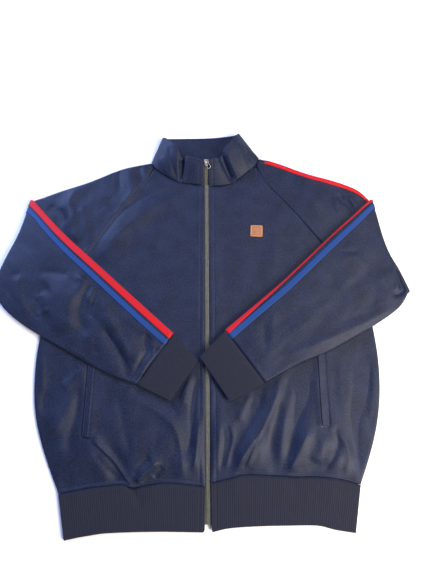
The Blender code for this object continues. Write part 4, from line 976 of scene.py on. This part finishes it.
def tuck_under(piece, s):
    """Turns a tape's edge in under the shoulder, where the sleeve hides it."""
    points = points_of(piece)
    line = lines["shoulder", s]
    gap, share, _ = line.near(points[:, :2])
    run = share * line.length
    low = ease((FOREARM_LOW[s] - 1 - points[:, 2]) / 0.6)
    away = ease((line.length - 8 - run) / 30) if s == "right" else ease((16 - run) / 10)
    turned = low * away * ease((10 - gap) / 4)
    points[:, 2] -= 0.55 * turned * points[:, 2]
    points[:, 1] -= 1.2 * turned
    set_points(piece, points)


# %% Tapes drawn in on the forearm
LEFT_RED_SHARE = [(0, 0.06, 0.3, 0.62, 0.8, 1.0), (1.25, 0.75, 0.55, 0.6, 1.25, 2.25)]
RIGHT_TAPE_SHARE = [(0, 0.1, 1.0), (1.0, 0.84, 0.84)]


def shift_across(piece, s, share_table):
    """Moves a tape on the forearm to a share of its distance from the forearm's upper fold."""
    points = points_of(piece)
    line = lines["forearm_upper", s]
    gap, share, _ = line.near(points[:, :2])
    kept = np.interp(share, *share_table)
    way = unit(line.at(np.clip(share + 0.01, 0, 1)) - line.at(np.clip(share - 0.01, 0, 1)))
    inward = SIGN[s] * np.stack([-way[:, 1], way[:, 0]], axis=1)
    on_top = (gap < TAPES_REACH + 4) * ease((points[:, 2] - FOREARM_LOW[s] - 3) / 2)
    points[:, :2] += inward * (on_top * gap * (kept - 1))[:, None]
    set_points(piece, points)


# %% The tapes' ribs


def along_tape(piece, s):
    """A knit map that runs along the sleeve's two straight stretches."""
    points = points_of(piece)
    shoulder, forearm = lines["shoulder", s], lines["forearm_upper", s]
    gap, share, _ = shoulder.near(points[:, :2])
    gap_two, share_two, _ = forearm.near(points[:, :2])
    upper = points[:, 2] < FOREARM_LOW[s] + 1
    run = np.where(upper, share * shoulder.length, shoulder.length + share_two * forearm.length)
    return np.stack([np.where(upper, gap, gap_two), run], axis=1) * MM


def swelled(piece, room):
    """Moves every point out along its normal, so that the cloth under it doesn't show through."""
    set_points(piece, points_of(piece) + normals_of(piece) * room)


# %% Tapes
for s in SIDES:
    for colour, material in (("red", red_grosgrain), ("blue", blue_grosgrain)):
        strip = smooth_copy(f"tape_{colour}_{s}", 3)
        if (colour, s) == ("red", "left"):
            shift_across(strip, s, LEFT_RED_SHARE)
        if s == "right":
            shift_across(strip, s, RIGHT_TAPE_SHARE)
        shape_sleeve(strip, s)
        swelled(strip, 0.2)
        if colour == "red":
            tuck_under(strip, s)
        strip.data.uv_layers.remove(strip.data.uv_layers["knit"])
        map_knit(strip, along_tape(strip, s))
        dress(strip, material, f"{colour}_tape", f"tape_{colour}_{s}")

# %% [markdown]
# ## Trim on the fronts
#
# A welt and the chest patch lie on a front that now has creases, so they are made after it. A
# ray dropped on the finished cloth at each of their points says how high the cloth lies there.

# %% Where a point lands on the cloth
UP = Vector((0, 0, 1))


def tree_of(piece):
    form = bmesh.new()
    form.from_mesh(piece.data)
    tree = BVHTree.FromBMesh(form)
    form.free()
    return tree


def landing(tree, spots):
    """Where points dropped on the cloth land, in garment millimetres, and the cloth's normal there."""
    places, normals = [], []
    for spot in in_frame(np.column_stack([spots[:, :2], np.full(len(spots), 90.0)])):
        place, normal, _, _ = tree.ray_cast(Vector(spot), -UP)
        missed = place is None
        places.append(in_mm((*spot[:2], 0) if missed else place))
        normals.append(UP[:] if missed else normal[:])
    return np.array(places), np.array(normals)


# %% A thin closed piece


def slab(name, spots, heights, thick, round_edge):
    """A thin closed piece over a grid of spots, with a rounded edge. Heights are of its underside."""
    rows, columns = spots.shape[:2]
    form = bmesh.new()
    j, i = np.mgrid[0:rows, 0:columns]
    step_i = np.linalg.norm(spots[0, 1] - spots[0, 0])
    step_j = np.linalg.norm(spots[1, 0] - spots[0, 0])
    edge = np.minimum(np.minimum(i, columns - 1 - i) * step_i, np.minimum(j, rows - 1 - j) * step_j)
    bulge = thick * (0.35 + 0.65 * np.sqrt(1 - (1 - np.clip(edge / round_edge, 0, 1)) ** 2))
    walls = []
    for height in (heights, heights + bulge):
        placed = in_frame(np.dstack([spots, height]))
        walls.append([[form.verts.new(p) for p in row] for row in placed])
    low, high = walls
    for b in range(rows - 1):
        for a in range(columns - 1):
            form.faces.new((high[b][a], high[b][a + 1], high[b + 1][a + 1], high[b + 1][a]))
            form.faces.new((low[b][a], low[b + 1][a], low[b + 1][a + 1], low[b][a + 1]))
    ring = [(0, a) for a in range(columns)] + [(b, columns - 1) for b in range(1, rows)]
    ring += [(rows - 1, a) for a in range(columns - 2, -1, -1)] + [(b, 0) for b in range(rows - 2, 0, -1)]
    for (b, a), (d, c) in zip(ring, ring[1:] + ring[:1]):
        form.faces.new((low[b][a], low[d][c], high[d][c], high[b][a]))
    piece = piece_from(form, name)
    piece.data.shade_smooth()
    return piece


# %% [markdown]
# A pocket welt is a folded strip of the same cloth, sewn on along the pocket's opening. It could
# be a copy of its solid, but a strip laid afresh keeps closer to the creased front.

# %% Pocket welts
TRIM_ROOM = 0.25
front_trees = {s: tree_of(cloth["front", s]) for s in SIDES}
welts = {}
for s in SIDES:
    x, foot, head = WELTS[s]
    columns = np.linspace(-WELT_WIDE / 2, WELT_WIDE / 2, 14)
    across, up = np.meshgrid(columns, np.arange(foot, head + 0.5, 1.7))
    spots = np.dstack([x + across + 0.25 * np.sin(up / 17.0), up])
    rest = landing(front_trees[s], spots.reshape(-1, 2))[0][:, 2].reshape(up.shape)
    welt = slab(f"welt_{s}", spots, rest + TRIM_ROOM, 0.9, 1.6)
    welts[s] = dress(welt, navy_tricot, "navy_tricot", f"pocket_welt_{s}")
    map_flat(welt)

# %% [markdown]
# The patch is a square of vegetable-tanned leather with a pressed frame line near its edge. Its
# face is left bare. Leather is thick and keeps its own plane, so it follows only the broad lie
# of the cloth.

# %% Lie of the chest patch
PATCH_SPOT, PATCH_WIDE, PATCH_TURN = np.array([91.0, 525.5]), 24.0, math.radians(-3)


def spun(spots, angle):
    """Flat places turned about the origin."""
    c, s = math.cos(angle), math.sin(angle)
    return spots @ np.array([[c, s], [-s, c]])


u, v = np.meshgrid(np.linspace(-1, 1, 61), np.linspace(-1, 1, 61))
rounded = (1 - 0.045 * np.abs(u * v) ** 6) * PATCH_WIDE / 2
u, v = u * rounded, v * rounded
spots = PATCH_SPOT + spun(np.dstack([u, v]), PATCH_TURN)
rest = landing(front_trees["left"], spots.reshape(-1, 2))[0][:, 2].reshape(u.shape)
flat = np.column_stack([u.ravel(), v.ravel(), np.ones(u.size)])
lie = (flat @ np.linalg.lstsq(flat, rest.ravel(), rcond=None)[0]).reshape(u.shape)
lie += np.max(rest - lie) + TRIM_ROOM
print("the patch spans", round(float(np.ptp(rest)), 1), "mm of rise")

# %% Tooled leather
FRAME_LINE, PATCH_STITCH = 8.2, 10.4  # from the patch's middle
PATCH_PROFILE = [(0.75, FRAME_LINE, 0.55), (0.25, PATCH_STITCH, 0.4)]
patch = slab("patch_leather", spots, lie, 1.5, 0.9)
points = points_of(patch)
reach = np.max(np.abs(spun(points[:, :2] - PATCH_SPOT, -PATCH_TURN)), axis=1)
pressed = profile(reach, PATCH_PROFILE) + 0.1 * ease((FRAME_LINE - reach) / 0.8)
points[:, 2] -= np.where(normals_of(patch)[:, 2] > 0, pressed, 0.0)
set_points(patch, points)
dress(patch, tan_leather, "tan_leather", "chest_patch")

# %% [markdown]
# ## Ribbed bands
#
# A rib knit has raised wales with ditches between them, and it is doubled over at its mouth. A
# band is made as a tube laid flat: two flat stretches joined by half turns. Six columns of points
# to a wale give each one a round back, so light picks out every wale at its real pitch.

# %% Wales of a rib knit
RIB_RELIEF = 0.7
RIB_WALL = 2.0
RIB_COLUMNS = 6  # columns of points to a wale
TURN_RIBS = 3  # wales on a half turn
RADIUS = 3.0  # of a half turn, at its wales' backs
# Angles of the columns on a half turn, from flat on top to flat underneath.
TURN = np.pi * np.arange(1, TURN_RIBS * RIB_COLUMNS) / (TURN_RIBS * RIB_COLUMNS)


def wale(phase):
    """Height of a wale across its width, from 0 in the ditch to 1 on its back. Wales differ a little."""
    uneven = 0.82 + 0.18 * np.sin(2.4 * np.floor(phase)) * np.cos(0.73 * np.floor(phase))
    return uneven * np.abs(np.sin(np.pi * phase)) ** 0.7


def flat_shares(ribs):
    """Shares of the width at which the columns of so many wales lie."""
    return np.arange(ribs * RIB_COLUMNS + 1) / (ribs * RIB_COLUMNS)


# %% A doubled rib band
MOUTH_ROUND = 0.9


def close_end(form, column):
    """Closes the cut end of a band, from its outer edge to its inner one."""
    count = len(column)
    for b in range(count // 2):
        e, f = count - 1 - b, count - 2 - b
        if f > b + 1:
            form.faces.new((column[b], column[b + 1], column[f], column[e]))
        elif f == b + 1:
            form.faces.new((column[b], column[b + 1], column[e]))


def band_piece(name, outside, inward, wall, closed, metres):
    """A doubled band. outside is rows, from the mouth up, of columns of points in millimetres."""
    inner = outside + inward * wall
    up = unit(outside[1] - outside[0]) * MOUTH_ROUND
    lips = [outside[0] + up, outside[0] + inward[0] * 0.35, outside[0] + inward[0] * wall / 2, inner[0] + up]
    rows = np.array([*outside[:0:-1], *lips, *inner[1:]])
    count, wide = rows.shape[:2]
    form = bmesh.new()
    points = [[form.verts.new(p) for p in row] for row in in_frame(rows)]
    last = wide if closed else wide - 1
    for b in range(count):
        d = (b + 1) % count
        for a in range(last):
            c = (a + 1) % wide
            form.faces.new((points[b][a], points[b][c], points[d][c], points[d][a]))
    if not closed:
        for a in (0, wide - 1):
            close_end(form, [row[a] for row in points])
    bmesh.ops.recalc_face_normals(form, faces=form.faces)
    piece = piece_from(form, name)
    piece.data.shade_smooth()
    # The map holds how far round the band and how far up it a point lies.
    run = np.broadcast_to(metres, (count, wide))
    rise = np.linalg.norm(rows - rows[count // 2][None], axis=2)
    map_knit(piece, np.stack([run.ravel(), rise.ravel()], axis=1) * MM)
    return piece


# %% [markdown]
# A cuff is a flattened tube: a flat stretch of wales on top, a half turn, a flat stretch below
# and another half turn. Its rows run from the mouth to the seam, where the wales are gathered.

# %% Columns and rows of a cuff
CUFF_PITCH = 2.6
CUFF_ROWS = 12


def cuff_columns(ribs):
    """Of each column: its share across the flat, its angle, and the turn that it lies on, -1 or 1."""
    flat = flat_shares(ribs)
    level, turned = np.zeros(len(flat)), np.ones(len(TURN))
    share = np.concatenate([flat, turned, flat[::-1], 0 * turned])
    angle = np.concatenate([level + np.pi / 2, np.pi / 2 - TURN, level - np.pi / 2, TURN - np.pi / 2])
    return share, angle, np.concatenate([level, turned, level, -turned])


def between(first, second, share, along):
    """A place on a row of a band, so far along on the way from its first edge to its second."""
    return first.at(share) * (1 - along) + second.at(share) * along


def cuff_row(s, along, share, angle, end):
    """One row of a cuff: its points in the ditches, and its outward directions."""
    seam, mouth = lines["cuff_seam", s], lines["cuff_mouth", s]
    start = between(seam, mouth, 0, along)
    way = between(seam, mouth, 1, along) - start
    width, across = np.linalg.norm(way), unit(way)
    out = np.column_stack([np.outer(end * np.cos(angle), across), np.sin(angle)])
    reach = RADIUS + share * (width - 2 * RADIUS) + end * (RADIUS - RIB_RELIEF) * np.cos(angle)
    sag = 0.5 * np.sin(np.pi * share) * (1 - abs(2 * along - 1)) * (angle > 0)
    height = FOREARM_LOW[s] + RADIUS + (RADIUS - RIB_RELIEF) * np.sin(angle) + sag
    return np.column_stack([start + np.outer(reach, across), height]), out


# %% Cuffs
for s in SIDES:
    columns = cuff_columns(round((lines["cuff_seam", s].length - 2 * RADIUS) / CUFF_PITCH))
    phase = np.arange(len(columns[0])) / RIB_COLUMNS
    outside, inward = [], []
    for along in np.linspace(1.0, 0.004, CUFF_ROWS):
        base, out = cuff_row(s, along, *columns)
        gather = 1 - 0.4 * math.exp(-15 * along)
        outside.append(base + out * (RIB_RELIEF * gather * wale(phase))[:, None])
        inward.append(-out)
    outside, inward, metres = np.array(outside), np.array(inward), phase * CUFF_PITCH
    cuff = band_piece(f"cuff_rib_{s}", outside, inward, RIB_WALL - 0.3, True, metres)
    cloth["cuff", s] = dress(cuff, navy_rib, "navy_rib", f"cuff_{s}")

# %% [markdown]
# The hem band goes all round the body, from one side of the zip to the other. It is laid like a
# cuff that is open at the zip: a front, a half turn, the back, a half turn and the other front.
# Only the fronts can be seen, so the back has fewer columns to a wale.

# %% Sizes and folds of the hem band
HEM_PITCH = 3.4
HEM_ROWS = 12
HALF_SEAM = 0.2
CORNER = 4.0  # radius of the band's lower corner at the zip
PLACKET = 9.0  # width of the facing that is sewn to the zip
BACK_COLUMNS = 3
BAND_FOLDS = [
    ([(-138, 92), (-121, 56), (-106, 36)], -1.6, 8, 7, 0.0),
    ([(-106, 88), (-84, 44)], 1.0, 12, 12, 0.0),
    ([(40, 96), (52, 40)], 1.0, 14, 14, 0.0),
    ([(140, 100), (150, 44)], -0.9, 12, 12, 0.0),
    ([(-222, 80), (-214, 30)], 0.8, 12, 16, 0.0),
    ([(206, 96), (200, 40)], 0.9, 14, 14, 0.0),
]
for s in SIDES:
    lines["hem_top", s] = moved(lines["hem_seam", s], -HALF_SEAM * SIGN[s])
back_edge = Way(smooth(BACK_HEM_EDGE))
back_seam = moved(Way(smooth(BACK_HEM_SEAM)), -HALF_SEAM)
print("hem edge of", round(sum(lines["hem_edge", s].length for s in SIDES) + back_edge.length), "mm")

# %% A front stretch of the hem band


def hem_front(s, along):
    """Points, outward directions and places along a front, on the row that far up the band."""
    low, high = lines["hem_edge", s], lines["hem_top", s]
    share = flat_shares(round((low.length - RADIUS) / HEM_PITCH))
    phase = np.arange(len(share)) / RIB_COLUMNS
    share = share if s == "right" else share[::-1]
    width = low.length * (1 - along) + high.length * along
    across = share * (1 - RADIUS / width)
    spots = between(low, high, across, along)
    from_edge = share * (width - RADIUS)
    lift = CORNER * (1 - np.sqrt(1 - (1 - np.clip(from_edge / CORNER, 0, 1)) ** 2))
    spots[:, 1] += lift * ease(1 - along * 8)
    folds = crease_rise(spots, BAND_FOLDS) * ease(np.minimum(across, 1 - across) * 8)
    faced = profile(from_edge, [(0.7, PLACKET, 0.9)]) * ease((0.5 - abs(along - 0.5)) * 12)
    height = EDGE_TOP + folds + RIB_RELIEF * wale(phase) - faced
    return np.column_stack([spots, height]), np.tile((0.0, 0.0, 1.0), (len(share), 1)), phase * HEM_PITCH


# %% A half turn and the back of the hem band


def hem_turn(s, along):
    x, y = between(lines["hem_edge", s], lines["hem_top", s], 1.0, along)
    angle = np.pi / 2 - TURN if s == "right" else TURN - np.pi / 2
    out = np.column_stack([SIGN[s] * np.cos(angle), np.zeros(len(angle)), np.sin(angle)])
    phase = np.arange(1, len(TURN) + 1) / RIB_COLUMNS
    relief = RIB_RELIEF * wale(phase) * ease(np.sin(angle) + 1) - 0.3 * ease(-np.sin(angle))
    relief = np.minimum(relief, 0.35 + 0.35 * np.sin(angle))
    return (x - SIGN[s] * RADIUS, y, RADIUS) + out * (RADIUS + relief)[:, None], out, phase * HEM_PITCH


def hem_back(along):
    columns = round(back_edge.length / HEM_PITCH) * BACK_COLUMNS
    width = back_edge.length * (1 - along) + back_seam.length * along
    across = (RADIUS + np.arange(columns + 1) / columns * (width - 2 * RADIUS)) / width
    phase = np.arange(columns + 1) / BACK_COLUMNS
    points = np.column_stack([between(back_edge, back_seam, across, along), 0.3 * (1 - wale(phase))])
    return points, np.tile((0.0, 0.0, -1.0), (len(points), 1)), phase * HEM_PITCH


# %% Hem band


def hem_row(along):
    """One row, from the zip round by the wearer's right, the back and the left."""
    first = [hem_front("right", along), hem_turn("right", along), hem_back(along)]
    points, out, runs = zip(*first, hem_turn("left", along), hem_front("left", along))
    places, place = [], 0.0
    for run in runs:
        places.append(place + run)
        place = places[-1][-1] + HEM_PITCH / RIB_COLUMNS
    return np.vstack(points), -np.vstack(out), np.concatenate(places)


rows, inward, metres = zip(*[hem_row(along) for along in np.linspace(0.0, 1.0, HEM_ROWS)])
hem = band_piece("hem_band", np.array(rows), np.array(inward), RIB_WALL, False, metres[0])
cloth["hem"] = dress(hem, navy_rib, "navy_rib", "hem_rib")

# %% [markdown]
# ## Zip
#
# A coil zip is two woven tapes, each with a nylon coil whose turns look like small bars. One bar
# is modelled and copied up both tapes, half a pitch apart, so that the bars mesh.

# %% The way of the zip


def clusters_of(node):
    """Foot and crest of the coil at each station of a zip tape's solid."""
    points = in_mm([v.co[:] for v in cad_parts[node].data.vertices])
    points = np.unique(np.round(points, 2), axis=0)
    centre = points[np.abs(points[:, 0] - ZIP_LEAN * points[:, 1]) < 0.6]
    centre = centre[np.argsort(centre[:, 1])]
    groups, last = [], -99.0
    for point in centre:
        if point[1] - last > 3:
            groups.append([])
        groups[-1].append(point)
        last = point[1]
    return [(min(g, key=lambda p: p[2]), max(g, key=lambda p: p[2])) for g in groups]


stations = clusters_of("zip_tape_left")
zip_base = Way([foot for foot, crest in stations])
zip_out = Way([unit(crest - foot) for foot, crest in stations])
print(len(stations), "stations, coil of", round(zip_base.length), "mm")


# %% Places along the zip


def zip_frames(reaches):
    """Middle of the zip, its way and its outward direction at distances up it."""
    marks = zip_base.marks
    middle = np.stack([np.interp(reaches, marks, c) for c in zip_base.points.T], axis=-1)
    middle[:, 0] = ZIP_LEAN * middle[:, 1]
    out = np.stack([np.interp(reaches, marks, c) for c in zip_out.points.T], axis=-1)
    out[:, 0] = 0
    out = unit(out)
    way = np.stack([np.zeros(len(out)), out[:, 2], -out[:, 1]], axis=1)
    return middle, way, out


def copies_of(form, name, places):
    """One mesh with a copy of the form at each place, in garment millimetres."""
    verts = np.array([v.co[:] for v in form.data.vertices])
    faces = [tuple(p.vertices) for p in form.data.polygons]
    stacked = np.concatenate([verts @ turn.T + spot for spot, turn in places])
    whole = [tuple(i + k * len(verts) for i in face) for k in range(len(places)) for face in faces]
    mesh = bpy.data.meshes.new(name)
    mesh.from_pydata(in_frame(stacked).tolist(), [], whole)
    mesh.shade_smooth()
    return piece_of(name, mesh)


# %% [markdown]
# The zip's small parts are cut from blocks: a block is added, scaled and moved to its place, and
# then some of its faces are picked and worked on. They are modelled in millimetres.

# %% Blocks to work on


def block(name, size, middle=(0, 0, 0)):
    """A block of the given size about its middle, open for editing."""
    bpy.ops.object.select_all(action="DESELECT")
    bpy.ops.mesh.primitive_cube_add(size=1.0)
    piece = bpy.context.active_object
    piece.name = name
    mode("EDIT")
    bpy.ops.transform.resize(value=size)
    bpy.ops.transform.translate(value=middle)
    return piece


def select_faces(piece, wanted):
    """Selects the faces that the test picks, and opens the piece for editing."""
    mode("EDIT")
    bpy.ops.mesh.select_mode(type="FACE")
    bpy.ops.mesh.select_all(action="DESELECT")
    mode("OBJECT")
    for face in piece.data.polygons:
        face.select = wanted(face)
    mode("EDIT")


# %% One turn of the coil
TOOTH_PITCH = 1.55
COIL_LOW, COIL_RISE = 0.8, 1.25
tooth = block("tooth", (4.1, 1.2, COIL_RISE), (1.45, 0, COIL_LOW + COIL_RISE / 2))
select_faces(tooth, lambda face: face.normal.x < -0.9)
bpy.ops.transform.resize(value=(1, 0.55, 0.7), center_override=(-0.6, 0, COIL_LOW + 0.5))
bpy.ops.mesh.select_all(action="SELECT")
bpy.ops.mesh.bevel(offset=0.28, segments=1, affect="EDGES")
mode("OBJECT")
print("one turn has", len(tooth.data.polygons), "faces")

# %% Coil


def coil_of(s):
    """One side's half of the coil. The right half starts half a pitch higher."""
    first = 0.9 if s == "left" else 0.9 + TOOTH_PITCH / 2
    frames = zip_frames(np.arange(first, zip_base.length - 0.8, TOOTH_PITCH))
    across = (SIGN[s], 0.0, 0.0)
    places = [(middle, np.column_stack([across, way, out])) for middle, way, out in zip(*frames)]
    coil = copies_of(tooth, f"zip_coil_{s}", places)
    if s == "right":
        coil.data.flip_normals()
    return coil


# %% Cloth of the zip
NECK_AT = 621.0  # above it the cloth of the zip is narrower, inside the collar
WEB_HALF = {"front": 13.8, "collar": 10.8}
# A section across the cloth, as shares of its half width and heights. It stops short of the middle.
WEB_SECTION = [(0.0, 0.1), (0.7, 0.0), (1.0, 0.0), (1.0, 0.7), (0.7, 0.75), (0.0, 0.75)]
HALF_SLIT = 0.35


def web_of(s):
    form = bmesh.new()
    rings = []
    for middle, _, out in zip(*zip_frames(np.linspace(0, zip_base.length, 90))):
        half = WEB_HALF["collar" if middle[1] > NECK_AT else "front"]
        ring = [middle + (SIGN[s] * max(a * half, HALF_SLIT), 0, 0) + out * z for a, z in WEB_SECTION]
        rings.append([form.verts.new(p) for p in in_frame(ring)])
    for low, high in zip(rings, rings[1:]):
        for k in range(len(low)):
            form.faces.new((low[k], low[k - 1], high[k - 1], high[k]))
    form.faces.new(rings[0][::-1])
    form.faces.new(rings[-1])
    bmesh.ops.recalc_face_normals(form, faces=form.faces)
    return piece_from(form, f"zip_cloth_{s}")


# %% Both sides of the zip
for s in SIDES:
    dress(coil_of(s), nylon_coil, "zip_cloth", body="jacket")
    web = web_of(s)
    map_flat(web)
    dress(web, zip_twill, "zip_cloth", f"zip_tape_{s}")
bpy.data.objects.remove(tooth)

# %% [markdown]
# The slider is cast zinc with a nickel finish. Its plate has rounded corners, narrows towards
# its foot and is dished on top. An arch over the plate holds the pull, a bent wire loop that
# lies askew. The plate and its arch are modelled at the origin in millimetres and then laid on
# the zip; the pull is a rounded copy of its solid.

# %% Where the slider sits
BRIDGE_TOP = 4.95
PLATE = (8.5, 12.0, 1.2)
PLATE_LIFT = 0.4

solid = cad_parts["zip_slider"]
normals = np.array([face.normal[:] for face in solid.data.polygons])
areas = np.array([face.area for face in solid.data.polygons])
slider_out = normals[np.argmax(areas * (normals[:, 2] > 0.3))]
slider_across = np.array([1.0, 0.0, 0.0])
slider_out = unit(slider_out - slider_across * (slider_out @ slider_across))
slider_turn = np.column_stack([slider_across, np.cross(slider_out, slider_across), slider_out])
local = in_mm([v.co[:] for v in solid.data.vertices]) @ slider_turn
slider_spot = (local.min(axis=0) + local.max(axis=0)) / 2
slider_spot[2] = local[:, 2].max() - BRIDGE_TOP
print("slider leans", round(math.degrees(math.acos(slider_out[2]))), "degrees")

# %% Slider plate
slider = block("slider", PLATE, (0, 0, PLATE_LIFT + PLATE[2] / 2))
select_faces(slider, lambda face: face.normal.y < -0.9)
bpy.ops.transform.resize(value=(0.74, 1, 1), center_override=(0, 0, 0))
mode("OBJECT")
select_faces(slider, lambda face: face.normal.z > 0.9)
bpy.ops.mesh.inset(thickness=1.0)
bpy.ops.transform.translate(value=(0, 0, -0.3))
mode("OBJECT")
finish_with(slider, "BEVEL", width=0.45, segments=3, limit_method="ANGLE", angle_limit=math.radians(30))

# %% Arch of the slider
bpy.ops.object.select_all(action="DESELECT")
bpy.ops.mesh.primitive_torus_add(major_radius=2.5, minor_radius=0.5, major_segments=28, minor_segments=10)
mode("EDIT")
bpy.ops.transform.rotate(value=math.radians(90), orient_axis="Y", center_override=(0, 0, 0))
bpy.ops.transform.resize(value=(2.0, 1.0, 1.15), center_override=(0, 0, 0))
bpy.ops.transform.translate(value=(0, 0, PLATE_LIFT + PLATE[2] - 0.1))
bpy.ops.mesh.bisect(plane_co=(0, 0, PLATE_LIFT + 0.3), plane_no=(0, 0, 1), clear_inner=True, use_fill=True)
mode("OBJECT")
slider.select_set(True)
bpy.context.view_layer.objects.active = slider
bpy.ops.object.join()
place = np.array([v.co[:] for v in slider.data.vertices]) + slider_spot
set_points(slider, place @ slider_turn.T)
bpy.ops.object.shade_smooth_by_angle(angle=math.radians(40))
dress(slider, nickel, "bright_metal", "zip_slider")

# %% Pull
pull = smooth_copy("zip_pull", 1)
swelled(pull, 0.1)
dress(pull, nickel, "bright_metal", "zip_pull", body="pull_tab")

# %% [markdown]
# ## Stitches
#
# Topstitching is what makes cloth look sewn. One stitch is a short rounded bar of thread. It is
# laid at each step of a seam line, on the cloth and in its plane, sunk a little into it.

# %% One stitch
STITCH = (2.5, 0.62, 0.5)
STITCH_GAP = 0.9
STITCH_LIFT = 0.06  # of its middle above the cloth, so most of its lower half is sunk in
stitch = block("stitch", STITCH)
bpy.ops.mesh.bevel(offset=0.17, segments=1, affect="EDGES")
mode("OBJECT")


def sew(name, ways, piece, thread, slot):
    """Rows of stitches along the ways, on the piece. A stitch that would span a fold is left out."""
    tree = tree_of(piece)
    places = []
    for line in ways:
        starts = np.arange(0, line.length - STITCH[0], STITCH[0] + STITCH_GAP)
        heads = landing(tree, line.at(starts / line.length))
        tails = landing(tree, line.at((starts + STITCH[0]) / line.length))
        for a, up_a, b, up_b in zip(*heads, *tails):
            if np.linalg.norm(b - a) > 2 * STITCH[0] or min(a[2], b[2]) < 1:
                continue
            along = unit(b - a)
            up = unit(up_a + up_b - along * ((up_a + up_b) @ along))
            turn = np.column_stack([along, np.cross(up, along), up])
            places.append(((a + b) / 2 + up * STITCH_LIFT, turn))
    dress(copies_of(stitch, name, places), thread, slot)
    print(name, len(places), "stitches")


# %% [markdown]
# The fronts are topstitched beside the zip, the raglan seams and the hem's seam, and a welt is
# sewn down all round. A row starts and stops a little short of where its seam meets another.

# %% Topstitched seams
WELT_ROW, WELT_END = 1.8, 2.0  # how far the rows of a welt lie from its sides and from its ends
ZIP_ROW = (84, 616)  # from above the hem's seam to below the neck
RAGLAN_STITCH = 3.4
ROW_END = 0.985  # share of its seam at which a row ends


def zip_row(s):
    ys = np.linspace(*ZIP_ROW, 60)
    return Way(np.column_stack([ZIP_LEAN * ys + SIGN[s] * (ZIP_HALF_GAP + ZIP_STITCH), ys]))


def row_beside(seam, s, room, start):
    """A row of stitches beside a seam of the body, from its start to just short of its end."""
    line = moved(lines[seam, s], room * SIGN[s])
    return Way(line.at(np.linspace(start, ROW_END, 60)))


def welt_rows(s):
    x, foot, head = WELTS[s]
    half = WELT_WIDE / 2
    sides = [x - half + WELT_ROW, x + half - WELT_ROW]
    rows = [Way([(edge, foot + 1.5), (edge, head - 1.5)]) for edge in sides]
    return rows + [Way([(x - half + 1, y), (x + half - 1, y)]) for y in (foot + WELT_END, head - WELT_END)]


for s in SIDES:
    for name, rows, piece in (
        ("zip", [zip_row(s)], cloth["front", s]),
        ("raglan", [row_beside("raglan", s, RAGLAN_STITCH, 0.02)], cloth["front", s]),
        ("hem", [row_beside("hem_seam", s, HEM_STITCH, 0.03)], cloth["front", s]),
        ("welt", welt_rows(s), welts[s]),
    ):
        sew(f"stitches_{name}_{s}", rows, piece, navy_thread, "navy_tricot")

# %% Stitches of the patch
side = np.array([(-9.6, -PATCH_STITCH), (9.6, -PATCH_STITCH)])
square = [Way(PATCH_SPOT + spun(side, PATCH_TURN + math.radians(90 * k))) for k in range(4)]
sew("stitches_patch", square, patch, tan_thread, "tan_leather")
bpy.data.objects.remove(stitch)

# %% [markdown]
# ## Cloth and its cuts
#
# Each sheet of cloth is listed with the size that it was cut to. A half-surface measured here
# says whether the laid shape still has the area of its cut.

# %% Sheets
CUTS = [
    # piece, width and length of its cut, area where the cut isn't a rectangle, how it lies, on what
    (cloth["front", "right"], (0.31, 0.60), 0.145, "laid", ["back_panel"], [welts["right"]]),
    (cloth["front", "left"], (0.31, 0.60), 0.145, "laid", ["back_panel"], [welts["left"]]),
    (cloth["back"], (0.62, 0.67), 0.300, "laid", [table], []),
    (cloth["sleeve", "right"], (0.60, 0.64), 0.215, "folded", [table], []),
    (cloth["sleeve", "left"], (0.60, 0.64), 0.215, "folded", [table], []),
    (cloth["collar"], (0.50, 0.065), None, "folded", ["back_panel"], []),
    (cloth["hem"], (0.98, 0.075), None, "folded", [table], []),
    (cloth["cuff", "right"], (0.225, 0.073), None, "folded", ["front_right"], []),
    (cloth["cuff", "left"], (0.225, 0.073), None, "folded", ["front_left"], []),
]
for piece, flat, area, held, under, with_pieces in CUTS:
    half_surface = sum(face.area for face in piece.data.polygons) / 2
    print(piece.name, "has", round(half_surface, 4), "of", round(area or flat[0] * flat[1], 4), "m2")
